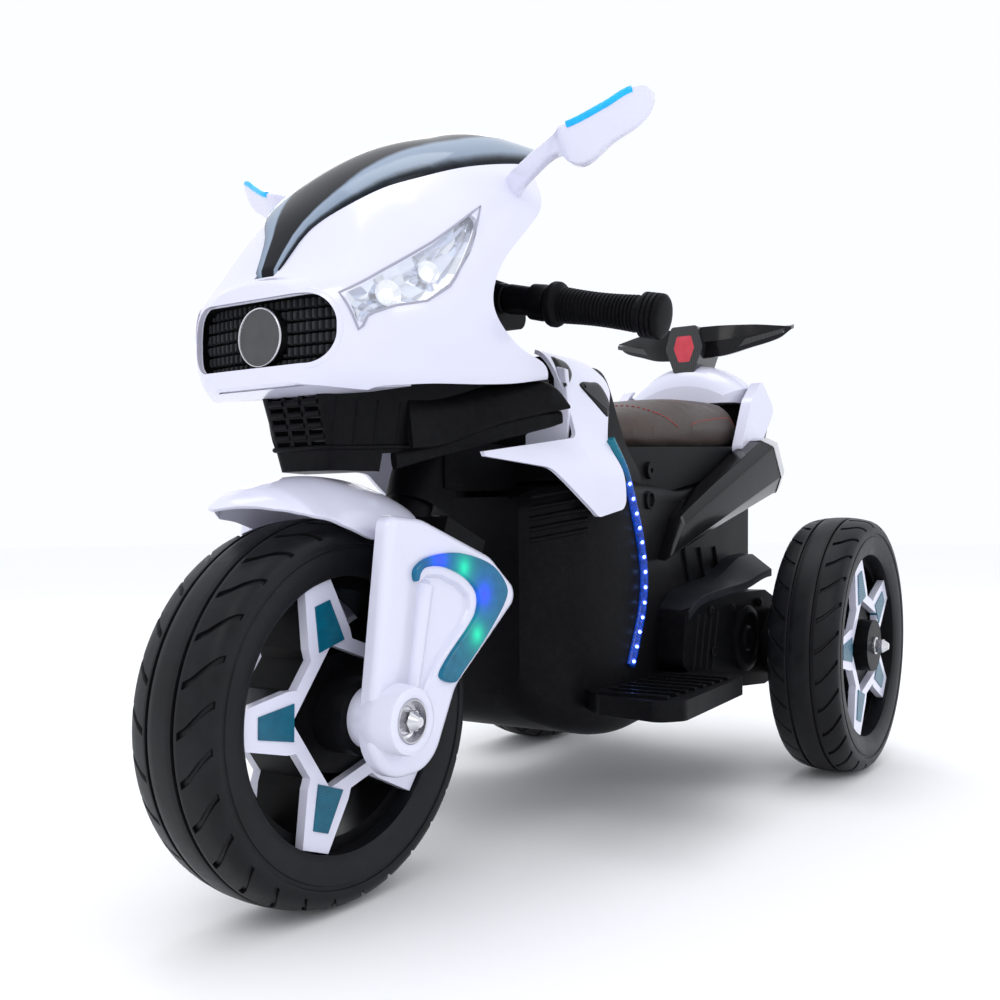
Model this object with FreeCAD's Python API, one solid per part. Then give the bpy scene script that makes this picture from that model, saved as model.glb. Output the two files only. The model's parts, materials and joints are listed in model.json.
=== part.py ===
import FreeCAD, Part
import math
import os

V = FreeCAD.Vector

# Overall layout, in millimetres: forward is -Y, the rider's left is +X, the ground is Z = 0
wheel_radius = 150.0
wheelbase = 656.0
rear_track = 424.0
steering_rake_deg = 22.0
running_clearance = 0.05
end_play = 0.4
wall = 3.0

# Wheels
tyre_width = 80.0
tread_width = 62.0
tread_crown = 4.0
shoulder_drop = 16.0
bead_radius = 106.0
sidewall_opening = 6.0
groove_width = 3.0
groove_depth = 2.5
groove_offset = 13.0
ring_depth = 10.0
ring_width = 40.0
hub_radius = 30.0
hub_disc_radius = 46.0
hub_disc_half = 8.0
arm_count = 5
arm_base_radius = 50.0
arm_base_half = 23.0
arm_knee_radius = 62.0
arm_tip_half = 14.0
pentagon_outer = 70.0
pentagon_inner = 57.0
core_half = 22.0
trim_thickness = 8.0
trim_tip_gap = 1.5
insert_inner_radius = 56.0
insert_outer_radius = 90.0
insert_inner_half = 14.0
insert_outer_half = 8.0
insert_proud = 1.0
front_wheel_phase_deg = 16.0
rear_wheel_phase_deg = 18.0

# Axles and nuts
front_axle_radius = 5.0
rear_axle_radius = 6.0
rear_wheel_gap = 6.0
washer_radius = 10.0
washer_thickness = 2.0
nut_flats = 15.0
nut_height = 8.0
nut_dome = 6.0
axle_thread_length = 5.0

# Fork
fork_inner_x = 52.0
fork_thickness = 28.0
axle_boss_radius = 26.0
axle_boss_proud = 16.0
nut_well_radius = 17.0
nut_well_depth = 10.0
fork_edge = [(-4, 152), (-34, -46), (44, -46), (76, 14), (170, 84), (126, 118), (36, 149)]
fork_turns = [8, 40, 36, 30, 10, 40, 60]
fork_skin_x = 66.0
fork_front_relief = 22.0
fork_recess = [(27, 104), (20, 57), (7, 6), (30, 2), (46, 24), (58, 40), (88, 63), (97, 75), (97, 88),
               (82, 100), (58, 108), (37, 109)]
fork_light_edge = [(20, 103), (20, 112), (39, 121), (77, 122), (119, 113), (143, 94), (141, 79), (114, 53),
                   (82, 28), (68, 18), (48, 26), (60, 40), (90, 63), (100, 75), (100, 89), (84, 102),
                   (58, 111), (36, 112), (27, 108), (25, 102)]
fork_tube_ends = [(21, 6), (42, 99)]
fork_corner = 3.0
fork_light_corner = 2.0
fork_recess_depth = 5.0
fork_tube_radius = 12.0
fork_light_depth = 4.0
fork_light_proud = 3.0
stem_radius = 11.0
stem_top = 148.0
head_ahead = 132.0
head_above = 195.0
head_radius = 24.0
head_low = -36.0
head_high = 38.0
collar_radius = 18.0
collar_height = 10.0
crown_bottom = -78.0
crown_top = -52.0
crown_front = -12.0
crown_rear = 45.0
neck_half_width = 26.0
neck_bottom = 176.0
neck_top = 218.0
neck_end = 268.0

# Fender: gap over the tyre, then stations of angle forward, half width, skirt and lift
fender_gap = 31.0
fender_stations = [(-28, 51, 46, 3), (-12, 52.6, 48, 0), (0, 52.6, 47, 0), (12, 48, 37, 1), (22, 42, 29, 2),
                   (29, 35, 23, 4), (34, 26, 17, 5)]

# Cowl sections: distance from the front axle, then half outline from the lower edge to the crest
cowl_sections = [
    (-60, [(36, 246), (47, 259), (52, 282), (47, 302), (34, 313), (18, 316), (0, 317)]),
    (-46, [(62, 242), (73, 255), (77, 281), (71, 309), (50, 322), (26, 326), (0, 327)]),
    (-22, [(78, 241), (88, 257), (92, 282), (87, 318), (60, 349), (32, 362), (0, 366)]),
    (18, [(90, 245), (98, 262), (101, 292), (95, 340), (66, 388), (36, 406), (0, 411)]),
    (68, [(97, 250), (105, 268), (108, 305), (101, 365), (72, 414), (40, 438), (0, 447)]),
    (128, [(101, 257), (109, 277), (112, 320), (106, 385), (77, 438), (42, 464), (0, 474)]),
    (188, [(102, 267), (110, 287), (113, 335), (108, 400), (80, 454), (44, 483), (0, 494)]),
    (288, [(102, 278), (110, 300), (113, 350), (108, 415), (82, 470), (46, 495), (0, 503)]),
]
cowl_rows = 14
cowl_row_growth = 1.4
cowl_rear_edge = [(288, 515), (281, 500), (222, 472), (184, 448), (175, 422), (150, 394), (114, 364),
                  (92, 337), (88, 315), (100, 300), (138, 284), (168, 276), (178, 262)]
cowl_rear_margin = 60.0
cowl_foot_open = 12.0
cowl_chin_rear = -36.0
screen_edge = [(10, -48), (20, -27), (37, -11), (55, 16), (68, 74), (75, 134), (78, 198), (80, 300)]
headlight_edge = [(-38, 279), (-44, 307), (-16, 324), (30, 352), (93, 398), (68, 355), (42, 325), (18, 309),
                  (-14, 301), (-33, 291)]
headlight_turns = [3, 6, 30, 40, 5, 40, 25, 20, 20, 8]
reflector_depth = 14.0
mouth_half_width = 72.0
mouth_low = 258.0
mouth_high = 307.0
mouth_turn = 22.0
grille_front = -44.0
grille_thickness = 3.0
grille_pitch = 12.0
grille_bar = 4.0
grille_row_share = 0.75
badge_radius = 22.0
badge_depth = 9.0
badge_height = 281.0
bracket_height = 270.0
bracket_thickness = 4.0
bracket_front = 0.0
bracket_rear = 190.0
clamp_radius = 20.0

# Louvred lower piece: plan corners at its foot and at its top
louvre_foot_height = 186.0
louvre_foot = [(-29, -8), (29, -8), (84, 198), (-84, 198)]
louvre_top = [(-36, -30), (36, -30), (97, 198), (-97, 198)]
louvre_turn = 8.0
louvre_open = 18.0
louvre_under = [(28, 150), (32, 200), (88, 205), (203, 242), (203, 150)]
slot_rows = 5
slot_columns = 3
slot_width = 14.0
slot_height = 5.0
slot_pitch_x = 18.0
slot_pitch_z = 8.5
slot_lowest = 203.0

# Handlebar and mirrors, from the front axle
bar_radius = 9.0
bar_ahead = 188.0
bar_height = 346.0
bar_straight_half = 45.0
bar_droop_deg = 11.5
bar_sweep_deg = 3.4
bar_arm_length = 158.0
bar_cover_half = 48.0
bar_cover_front = 158.0
bar_cover_rear = 228.0
bar_cover_low = 322.0
bar_cover_high = 360.0
bar_cover_turn = 12.0
grip_start = 55.0
grip_length = 108.0
grip_radius = 14.5
grip_rib = 1.5
grip_rib_count = 14
grip_collar_radius = 19.0
grip_collar_length = 14.0
grip_end_radius = 19.0
grip_end_length = 20.0
mirror_root = (80.0, 149.0, 420.0)
mirror_elbow = (152.0, 131.0, 445.0)
mirror_arm_radius = 7.0
mirror_sections = [(146, 131, 446, 9, 13), (154, 131, 446, 14, 18), (185, 132, 455, 15, 18),
                   (207, 133, 462, 14, 16), (221, 134, 462, 9, 9)]
mirror_turn_share = 0.6
mirror_glass_depth = 2.0
signal_width = 8.0
signal_depth = 3.0
signal_lift = 0.55

# Body sections: distance from an axle, half width, floor, top
body_front_sections = [(216, 46, -15, 170), (230, 72, -38, 178), (263, 97, -55, 185),
                       (318, 107, -62, 185), (388, 99, -62, 185)]
body_rear_sections = [(-178, 86, -62, 186), (-68, 82, -62, 202), (44, 78, -46, 220)]
body_floor_turn = 26.0
body_top_turn = 16.0
body_rows = 18

# Tank and its side panels, from the front axle
flank = [(112, 150), (113, 172), (111, 195), (102, 212), (92, 235), (84, 260), (77, 282), (68, 298),
         (56, 305)]
panel_thickness = 4.0
panel_edge = [(96, 199), (178, 193), (250, 150), (303, 159), (294, 222), (336, 282), (308, 300),
              (278, 310), (228, 310), (240, 250), (238, 223), (96, 203)]
panel_turns = [1, 30, 14, 10, 12, 14, 12, 10, 10, 12, 10, 1]
panel_tip_pull = 0.86
panel_tip = 90.0
tank_front = 240.0
tank_rear = 340.0
tank_foot = 185.0
tank_crown = 300.0
switch_row = 300.0
switch_spacing = 26.0
switch_length = 22.0
switch_width = 13.0
switch_height = 12.0
switch_pivot_drop = 6.0
switch_pivot_radius = 2.0
switch_gap = 0.4
switch_proud = 3.0
switch_tilt_deg = 8.0

# Glowing strip on the flank, from the front axle
strip_path = [(297, 225), (311, 196), (327, 157), (342, 123), (350, 93), (346, 63), (330, 30), (318, 6)]
strip_width = 9.0
strip_inner_x = 94.0
strip_outer_x = 113.5

# Footboards and pedal, from the front axle
board_edge = [(80, 268), (118, 233), (186, 220), (203, 240), (190, 406), (178, 418), (80, 462)]
board_turns = [2, 14, 16, 16, 14, 14, 2]
board_low = -28.0
board_high = -10.0
board_rib_count = 8
board_rib_height = 3.0
board_rib_width = 6.0
pedal_x = 150.0
pedal_width = 46.0
pedal_length = 84.0
pedal_thickness = 5.0
pedal_hinge_y = 372.0
pedal_hinge_height = 4.0
pedal_barrel_radius = 5.0
pedal_pin_radius = 2.5
pedal_lug_width = 7.0
pedal_rise_deg = 13.0

# Seat and tail, fronts from the front axle and rears from the rear axle
seat_half_width = 84.0
seat_tank_gap = 3.0
seat_rear = 34.0
seat_plane_front = 221.0
seat_plane_rear = 241.0
seat_stations = [(0.0, 52, 20), (0.1, 66, 36), (0.3, 77, 46), (0.6, 82, 56), (0.88, 82, 60), (1.0, 72, 40)]
seat_rows = 10
seat_foot_draw = 0.14
seat_side_share = 0.42
seat_brow_share = 0.72
seat_brow_draw = 0.2
seat_base_front = 331.0
seat_base_low = 178.0
seat_base_bend = 446.0
tail_foot = [(24, 214), (76, 234), (112, 296), (38, 296)]
cowl_hump = [(8, 58, 24), (24, 78, 48), (60, 80, 52), (104, 58, 30)]
hump_draw = 0.1
hump_brow_share = 0.35
tail_deck = 296.0
arm_edge = [(40, 324), (87, 291), (47, 250), (-10, 215), (-26, 235), (6, 296)]
arm_turns = [10, 12, 20, 8, 8, 30]
arm_thickness = 13.0
wing_boss_edge = [(-14, 338), (14, 338), (26, 370), (18, 398), (-18, 398), (-26, 370)]
wing_boss_turn = 5.0
wing_boss_middle = 370.0
wing_boss_front = 18.0
wing_boss_rear = 74.0
wing_root_x = 16.0
wing_tip_x = 118.0
wing_root = (30, 356, 76, 380, 11)
wing_tip = (58, 384, 100, 396, 5)
wing_insert_depth = 3.0
wing_insert_share = 0.55

# Drive, from the rear axle
muffler_start = (-200.0, 113.0)
muffler_tilt_deg = 21.0
muffler_x = 116.0
muffler_stations = [(0, 18, 14), (52, 30, 28), (238, 32, 30), (264, 26, 25)]
muffler_turn_share = 0.45
muffler_tip_radius = 17.0
muffler_tip_bore = 13.0
muffler_tip_length = 9.0
gearbox_edge = [(-262, 0), (-254, 52), (-214, 66), (-28, 64), (26, 46), (46, 0), (26, -44), (-28, -50),
                (-214, -34)]
gearbox_turn = 12.0
gearbox_outer_x = 128.0
gearbox_boss_radius = 40.0
motor_behind = -198.0
motor_height = 20.0
motor_radius = 18.0
motor_length = 56.0
motor_shaft_radius = 4.0
battery_half_width = 46.0
battery_front = -160.0
battery_rear = -52.0
battery_height = 94.0
pan_half_width = 58.0
pan_front = 330.0
pan_rear = -34.0
pan_thickness = 7.0
pan_low = -66.0
socket_ahead = 406.0
socket_height = 200.0
socket_radius = 9.0
socket_bore = 2.75
socket_depth = 12.0
socket_proud = 4.0

# Places that follow from the layout
front_y = -wheelbase / 2
rear_y = wheelbase / 2
axle_z = wheel_radius
fork_outer_x = fork_inner_x + fork_thickness
boss_face_x = fork_outer_x + axle_boss_proud
front_hub_half = fork_inner_x - end_play
rear_wheel_x = rear_track / 2
gearbox_face_x = rear_wheel_x - tyre_width / 2 - rear_wheel_gap
rear_hub_inner = gearbox_face_x + end_play
rear_hub_outer = rear_wheel_x + tyre_width / 2
steer = FreeCAD.Placement(V(0, front_y + head_ahead, axle_z + head_above),
                          FreeCAD.Rotation(V(1, 0, 0), -steering_rake_deg))


def rounded_wire(points, turns, place):
    """Closed wire through corner points, each corner turned by its own radius."""
    total = len(points)
    bends = []
    for i in range(total):
        here = V(points[i][0], points[i][1], 0)
        before = V(points[i - 1][0], points[i - 1][1], 0) - here
        after = V(points[(i + 1) % total][0], points[(i + 1) % total][1], 0) - here
        before.normalize()
        after.normalize()
        half = before.getAngle(after) / 2
        middle = before + after
        middle.normalize()
        reach = turns[i] / math.tan(half)
        sag = turns[i] / math.sin(half) - turns[i]
        bends.append((here + before * reach, here + middle * sag, here + after * reach))
    edges = []
    for i in range(total):
        start, middle, end = bends[i]
        if turns[i] > 0:
            edges.append(Part.Arc(place(start.x, start.y), place(middle.x, middle.y),
                                  place(end.x, end.y)).toShape())
        following = bends[(i + 1) % total][0]
        edges.append(Part.makeLine(place(end.x, end.y), place(following.x, following.y)))
    return Part.Wire(edges)


def same_turns(points, turn):
    """One turn radius for every corner of an outline."""
    return [turn] * len(points)


def side_prism(points, turns, x_from, x_to, y_zero):
    """Solid with a side-view outline measured from an axle, between two planes of constant X."""
    wire = rounded_wire(points, turns, lambda a, b: V(x_from, y_zero + a, axle_z + b))
    return Part.Face(wire).extrude(V(x_to - x_from, 0, 0))


def front_prism(points, turns, y_from, y_to):
    """Solid with a front-view outline, between two planes of constant Y."""
    wire = rounded_wire(points, turns, lambda a, b: V(a, y_from, axle_z + b))
    return Part.Face(wire).extrude(V(0, y_to - y_from, 0))


def plan_wire(points, turn, z, y_zero):
    """Closed plan outline at one height."""
    return rounded_wire(points, same_turns(points, turn), lambda a, b: V(a, y_zero + b, z))


def block(x_from, x_to, y_from, y_to, z_from, z_to):
    """Plain block between two corners."""
    return Part.makeBox(x_to - x_from, y_to - y_from, z_to - z_from, V(x_from, y_from, z_from))


def x_rod(radius, x_from, x_to, y, z):
    """Round rod along X."""
    return Part.makeCylinder(radius, x_to - x_from, V(x_from, y, z), V(1, 0, 0))


def mirrored(shape):
    """The same shape on the rider's right."""
    return shape.mirror(V(0, 0, 0), V(1, 0, 0))


def pair(shape):
    """A left piece and its right twin."""
    return Part.makeCompound([shape, mirrored(shape)])


def pair_all(shapes):
    """Several left pieces and their right twins."""
    return Part.makeCompound(shapes + [mirrored(shape) for shape in shapes])


def biggest(shape):
    """The largest solid of a shape that a cut has left in pieces."""
    return max(shape.Solids, key=lambda solid: solid.Volume)


def steered(shape):
    """A shape drawn about an upright stem, leaned onto the steering axis."""
    leaned = shape.copy()
    leaned.Placement = steer.multiply(leaned.Placement)
    return leaned


def ring_cut(shape, x_from, x_to, radius_from, radius_to):
    """Turned groove round the X axis."""
    length = x_to - x_from
    outer = Part.makeCylinder(radius_to, length, V(x_from, 0, 0), V(1, 0, 0))
    inner = Part.makeCylinder(radius_from, length, V(x_from, 0, 0), V(1, 0, 0))
    return shape.cut(outer.cut(inner))


def tyre():
    """Tyre turned about X, with two grooves round the tread."""
    half = tyre_width / 2
    tread = tread_width / 2
    shoulder = wheel_radius - shoulder_drop
    opening = bead_radius + sidewall_opening
    bead = half - sidewall_opening
    crown = Part.Arc(V(-tread, 0, wheel_radius - tread_crown), V(0, 0, wheel_radius),
                     V(tread, 0, wheel_radius - tread_crown)).toShape()
    rest = Part.makePolygon([V(tread, 0, wheel_radius - tread_crown), V(half, 0, shoulder),
                             V(half - wall, 0, opening), V(bead, 0, bead_radius),
                             V(-bead, 0, bead_radius), V(wall - half, 0, opening),
                             V(-half, 0, shoulder), V(-tread, 0, wheel_radius - tread_crown)])
    profile = Part.Face(Part.Wire([crown] + rest.Edges))
    turned = profile.revolve(V(0, 0, 0), V(1, 0, 0), 360)
    for middle in (-groove_offset, groove_offset):
        turned = ring_cut(turned, middle - groove_width / 2, middle + groove_width / 2,
                          wheel_radius - groove_depth, wheel_radius + groove_depth)
    return turned


def arm_point(radius, offset, angle_deg):
    """A point on a spoke, by its distance out and to the side."""
    turn = math.radians(angle_deg)
    return (-radius * math.sin(turn) + offset * math.cos(turn),
            radius * math.cos(turn) + offset * math.sin(turn))


def arm_solid(corners, angle_deg, x_from, x_to):
    """One spoke drawn by its corners and extruded along X."""
    points = [V(x_from, *arm_point(radius, offset, angle_deg)) for radius, offset in corners]
    return Part.Face(Part.makePolygon(points + points[:1])).extrude(V(x_to - x_from, 0, 0))


def arm_angles(phase_deg):
    """The directions of the spokes."""
    return [phase_deg + 360.0 * i / arm_count for i in range(arm_count)]


def pentagon(radius, phase_deg, x_from, x_to):
    """Regular prism with one corner at each spoke."""
    points = [V(x_from, *arm_point(radius, 0, angle)) for angle in arm_angles(phase_deg)]
    return Part.Face(Part.makePolygon(points + points[:1])).extrude(V(x_to - x_from, 0, 0))


def spoke_star(tip_radius, phase_deg, x_from, x_to):
    """Five spokes joined by a five-sided ring."""
    corners = [(arm_base_radius, -arm_base_half), (arm_knee_radius, -arm_base_half),
               (tip_radius, -arm_tip_half), (tip_radius, arm_tip_half),
               (arm_knee_radius, arm_base_half), (arm_base_radius, arm_base_half)]
    star = pentagon(pentagon_outer, phase_deg, x_from, x_to)
    star = star.cut(pentagon(pentagon_inner, phase_deg, x_from, x_to))
    for angle in arm_angles(phase_deg):
        arm = arm_solid(corners, angle, x_from, x_to)
        star = star.fuse(arm.cut(pentagon(pentagon_inner, phase_deg, x_from, x_to)))
    return star.removeSplitter()


def rim(phase_deg, hub_from, hub_to, bore_radius):
    """Rim ring, spokes and hub in one moulding."""
    ring = x_rod(bead_radius, -ring_width / 2, ring_width / 2, 0, 0)
    ring = ring.cut(x_rod(bead_radius - ring_depth, -ring_width / 2, ring_width / 2, 0, 0))
    core = spoke_star(bead_radius - ring_depth / 2, phase_deg, -core_half, core_half)
    disc = pentagon(pentagon_inner + wall, phase_deg, -hub_disc_half, hub_disc_half)
    hub = x_rod(hub_radius, hub_from, hub_to, 0, 0)
    boss = x_rod(hub_disc_radius, -core_half, core_half, 0, 0)
    bore = x_rod(bore_radius + running_clearance, hub_from, hub_to, 0, 0)
    return ring.fuse([core, disc, hub, boss]).cut(bore).removeSplitter()


def insert_corners():
    """Corners of a coloured insert on its spoke."""
    return [(insert_inner_radius, -insert_inner_half), (insert_outer_radius, -insert_outer_half),
            (insert_outer_radius, insert_outer_half), (insert_inner_radius, insert_inner_half)]


def inserts(phase_deg):
    """The five coloured inserts of one wheel face."""
    return [arm_solid(insert_corners(), angle, core_half, core_half + trim_thickness + insert_proud)
            for angle in arm_angles(phase_deg)]


def trim(phase_deg):
    """White star that caps the spokes of one wheel face."""
    star = spoke_star(bead_radius - trim_tip_gap, phase_deg, core_half, core_half + trim_thickness)
    return star.cut(Part.makeCompound(inserts(phase_deg)))


def wheel_nodes(prefix, x, y, phase_deg, hub_from, hub_to, bore_radius, faces):
    """All nodes of one wheel, moved to its place; faces holds 1 for a left and -1 for a right face."""
    trims = []
    plates = []
    for face in faces:
        left_trim = trim(phase_deg)
        left_plates = Part.makeCompound(inserts(phase_deg))
        trims.append(left_trim if face > 0 else mirrored(left_trim))
        plates.append(left_plates if face > 0 else mirrored(left_plates))
    nodes = {
        prefix + "_tyre": tyre(),
        prefix + "_rim": rim(phase_deg, hub_from, hub_to, bore_radius),
        prefix + "_spoke_trims": Part.makeCompound(trims),
        prefix + "_spoke_inserts": Part.makeCompound([s for plate in plates for s in plate.Solids]),
    }
    for shape in nodes.values():
        shape.translate(V(x, y, axle_z))
    return nodes


def cap_nut(face_x, y, radius):
    """Washer and domed nut standing on a face, the thread hidden in the nut."""
    hexagon = []
    for i in range(6):
        turn = math.radians(60 * i)
        across = nut_flats / 2 / math.cos(math.radians(30))
        hexagon.append(V(face_x + washer_thickness, y + across * math.cos(turn),
                         axle_z + across * math.sin(turn)))
    nut = Part.Face(Part.makePolygon(hexagon + hexagon[:1])).extrude(V(nut_height, 0, 0))
    dome_x = face_x + washer_thickness + nut_height
    dome = Part.makeCone(nut_flats / 2, nut_flats / 4, nut_dome, V(dome_x, y, axle_z), V(1, 0, 0))
    thread = x_rod(radius, face_x, face_x + washer_thickness + axle_thread_length, y, axle_z)
    washer = x_rod(washer_radius, face_x, face_x + washer_thickness, y, axle_z)
    return [washer.cut(thread), nut.fuse(dome).cut(thread)]


def axle(radius, face_x, y):
    """Round axle that ends inside its nuts."""
    end = face_x + washer_thickness + axle_thread_length
    return x_rod(radius, -end, end, y, axle_z)


def fork_light():
    """Hook-shaped lens let into the outer face of the left leg."""
    turns = same_turns(fork_light_edge, fork_light_corner)
    return side_prism(fork_light_edge, turns, fork_outer_x - fork_light_depth,
                      fork_outer_x + fork_light_proud, front_y)


def fork_leg():
    """Left leg: plate, thinner along its front, with a recess, a moulded tube and the axle boss."""
    leg = side_prism(fork_edge, fork_turns, fork_inner_x, fork_outer_x, front_y)
    top, foot = fork_edge[:2]
    relief = [(top[0] - wall, top[1] + wall), (foot[0] - wall, foot[1] - wall),
              (foot[0] + fork_front_relief, foot[1] - wall), (top[0] + fork_front_relief, top[1] + wall)]
    leg = leg.cut(side_prism(relief, same_turns(relief, 0), fork_inner_x, fork_skin_x, front_y))
    turns = same_turns(fork_recess, fork_corner)
    leg = leg.cut(side_prism(fork_recess, turns, fork_outer_x - fork_recess_depth, fork_outer_x, front_y))
    low, high = fork_tube_ends
    along = V(0, high[0] - low[0], high[1] - low[1])
    tube_x = fork_outer_x - fork_tube_radius
    foot = V(tube_x, front_y + low[0], axle_z + low[1])
    tube = Part.makeCylinder(fork_tube_radius, along.Length, foot, along)
    boss = x_rod(axle_boss_radius, fork_inner_x, boss_face_x, front_y, axle_z)
    well = x_rod(nut_well_radius, boss_face_x - nut_well_depth, boss_face_x, front_y, axle_z)
    hole = x_rod(front_axle_radius, fork_inner_x, boss_face_x, front_y, axle_z)
    return leg.fuse([tube, boss]).cut(well).cut(hole).cut(fork_light()).removeSplitter()


def steering_stem():
    """Stem with thrust collars, welded to the crown between the legs."""
    rod = Part.makeCylinder(stem_radius, stem_top - crown_bottom, V(0, 0, crown_bottom))
    crown = block(-fork_inner_x, fork_inner_x, crown_front, crown_rear, crown_bottom, crown_top)
    low = Part.makeCylinder(collar_radius, head_low - end_play - crown_top, V(0, 0, crown_top))
    high = Part.makeCylinder(collar_radius, collar_height, V(0, 0, head_high + end_play))
    return steered(rod.fuse([crown, low, high]).removeSplitter())


def stem_room():
    """The plain stem as a cutter."""
    return steered(Part.makeCylinder(stem_radius, stem_top - crown_bottom, V(0, 0, crown_bottom)))


def neck():
    """Arm of the steering head that runs back into the body."""
    return block(-neck_half_width, neck_half_width, front_y + head_ahead, front_y + neck_end,
                 axle_z + neck_bottom, axle_z + neck_top)


def steering_head():
    """Sleeve round the stem with its arm."""
    foot = V(0, 0, head_low)
    length = head_high - head_low
    sleeve = steered(Part.makeCylinder(head_radius, length, foot))
    bore = steered(Part.makeCylinder(stem_radius + running_clearance, length, foot))
    front = steered(block(-head_radius, head_radius, -head_radius, head_radius, head_low, head_high))
    arm = neck().cut(front)
    link = steered(block(-head_radius, head_radius, 0, head_radius, head_low, head_high))
    return sleeve.fuse([arm, link]).cut(bore).removeSplitter()


def fender():
    """Beak-shaped arch over the front tyre, its skirts flat against the legs."""
    sections = []
    for angle_deg, half, skirt, lift in fender_stations:
        turn = math.radians(angle_deg)
        top = wheel_radius + fender_gap + lift

        def at(x, radius):
            return V(x, front_y - radius * math.sin(turn), axle_z + radius * math.cos(turn))

        edge = top - skirt
        inner = half - wall
        outer_arc = Part.Arc(at(half, edge), at(0, top), at(-half, edge)).toShape()
        inner_arc = Part.Arc(at(-inner, edge), at(0, top - wall), at(inner, edge)).toShape()
        sections.append(Part.Wire([outer_arc, Part.makeLine(at(-half, edge), at(-inner, edge)),
                                   inner_arc, Part.makeLine(at(inner, edge), at(half, edge))]))
    room = block(-fork_inner_x, fork_inner_x, -wheelbase, wheelbase, 0, axle_z * 4)
    return Part.makeLoft(sections, True, False).common(room)


def between(stations, place):
    """Values between stations by a curve that never swings past them."""
    places = [station[0] for station in stations]
    last = len(places) - 1
    i = max([k for k in range(last) if places[k] <= place], default=0)
    gaps = [places[k + 1] - places[k] for k in range(last)]
    span = gaps[i]
    t = (place - places[i]) / span
    mixed = []
    for values in zip(*[station[1] for station in stations]):
        rises = [(values[k + 1] - values[k]) / gaps[k] for k in range(last)]

        def slope(k):
            if k == 0 or k == last:
                return rises[0] if k == 0 else rises[-1]
            if rises[k - 1] * rises[k] <= 0:
                return 0.0
            return 2 * rises[k - 1] * rises[k] / (rises[k - 1] + rises[k])

        mixed.append(values[i] * (1 + 2 * t) * (1 - t) ** 2 + slope(i) * span * t * (1 - t) ** 2
                     + values[i + 1] * t * t * (3 - 2 * t) + slope(i + 1) * span * t * t * (t - 1))
    return mixed


def skin_face(rows):
    """Smooth face through rows of points."""
    surface = Part.BSplineSurface()
    surface.interpolate(rows)
    return surface.toShape()


def edge_at(face, first, last):
    """The edge of a face that runs between two points."""
    def reach(edge):
        ends = [vertex.Point for vertex in edge.Vertexes]
        return min((ends[0] - first).Length + (ends[-1] - last).Length,
                   (ends[-1] - first).Length + (ends[0] - last).Length)

    return min(face.Edges, key=reach)


def capped_solid(rows):
    """Solid under a skin, closed by flat ends and by a ruled face between the skin's long edges."""
    face = skin_face(rows)
    begin = edge_at(face, rows[0][0], rows[0][-1])
    end = edge_at(face, rows[-1][0], rows[-1][-1])
    left = edge_at(face, rows[0][0], rows[-1][0])
    right = edge_at(face, rows[0][-1], rows[-1][-1])
    faces = [face, Part.makeRuledSurface(left, right)]
    for edge, row in ((begin, rows[0]), (end, rows[-1])):
        faces.append(Part.Face(Part.Wire([edge, Part.makeLine(row[-1], row[0])])))
    shell = Part.makeShell(faces)
    shell.sewShape()
    solid = Part.makeSolid(shell)
    if solid.Volume < 0:
        solid.reverse()
    return solid


def inset(points, depth):
    """Half outline moved inwards along its own normals, symmetric about X = 0."""
    moved = []
    last = len(points) - 1
    for i, (a, b) in enumerate(points):
        before = points[max(i - 1, 0)]
        after = points[i + 1] if i < last else (-points[i - 1][0], points[i - 1][1])
        normal = V(-(after[1] - before[1]), after[0] - before[0], 0)
        normal.normalize()
        moved.append((a + normal.x * depth, b + normal.y * depth))
    return moved


def cowl_solid(depth):
    """Filled cowl, or its inside below the skin with the rear, and the foot behind the chin, left open."""
    stations = [(ahead, [value for point in half for value in point]) for ahead, half in cowl_sections]
    first = stations[0][0]
    length = stations[-1][0] - first
    rows = []
    for i in range(cowl_rows + 1):
        place = first + length * (i / cowl_rows) ** cowl_row_growth
        flat = between(stations, place)
        half = list(zip(flat[0::2], flat[1::2]))
        if depth:
            half = inset(half, depth)
            drop = cowl_foot_open if place > cowl_chin_rear else -depth
            half[0] = (half[0][0], half[0][1] - drop)
        y = front_y + place + depth * (1 - i / cowl_rows) + (wall * i / cowl_rows if depth else 0)
        whole = half + [(-a, b) for a, b in reversed(half[:-1])]
        rows.append([V(a, y, axle_z + b) for a, b in whole])
    return capped_solid(rows)


def cowl_rear():
    """Everything behind the cowl's rear edge."""
    far = wheelbase
    x_from = -rear_track / 2
    curve = Part.BSplineCurve()
    curve.interpolate([V(x_from, front_y + a, axle_z + b) for a, b in cowl_rear_edge])
    top = cowl_rear_edge[0]
    foot = cowl_rear_edge[-1]
    low = foot[1] - cowl_rear_margin
    high = top[1] + cowl_rear_margin
    corners = [(foot[0], low), (far, low), (far, high), (top[0], high), top]
    rest = Part.makePolygon([V(x_from, front_y + a, axle_z + b) for a, b in [foot] + corners])
    return Part.Face(Part.Wire([curve.toShape()] + rest.Edges)).extrude(V(-2 * x_from, 0, 0))


def screen_prism():
    """Upright prism over the plan of the windshield."""
    left = [V(a, front_y + b, axle_z + mouth_low) for a, b in screen_edge]
    right = [V(-a, front_y + b, axle_z + mouth_low) for a, b in screen_edge]
    side_a = Part.BSplineCurve()
    side_a.interpolate(left)
    side_b = Part.BSplineCurve()
    side_b.interpolate(right)
    ends = [Part.makeLine(right[0], left[0]), Part.makeLine(left[-1], right[-1])]
    wire = Part.Wire(Part.__sortEdges__([side_a.toShape(), side_b.toShape()] + ends))
    return Part.Face(wire).extrude(V(0, 0, wheel_radius + mouth_high))


def headlight_prism(depth):
    """Sideways prism through the left headlight."""
    return side_prism(headlight_edge, headlight_turns, fork_inner_x - depth, rear_track / 2, front_y)


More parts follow.
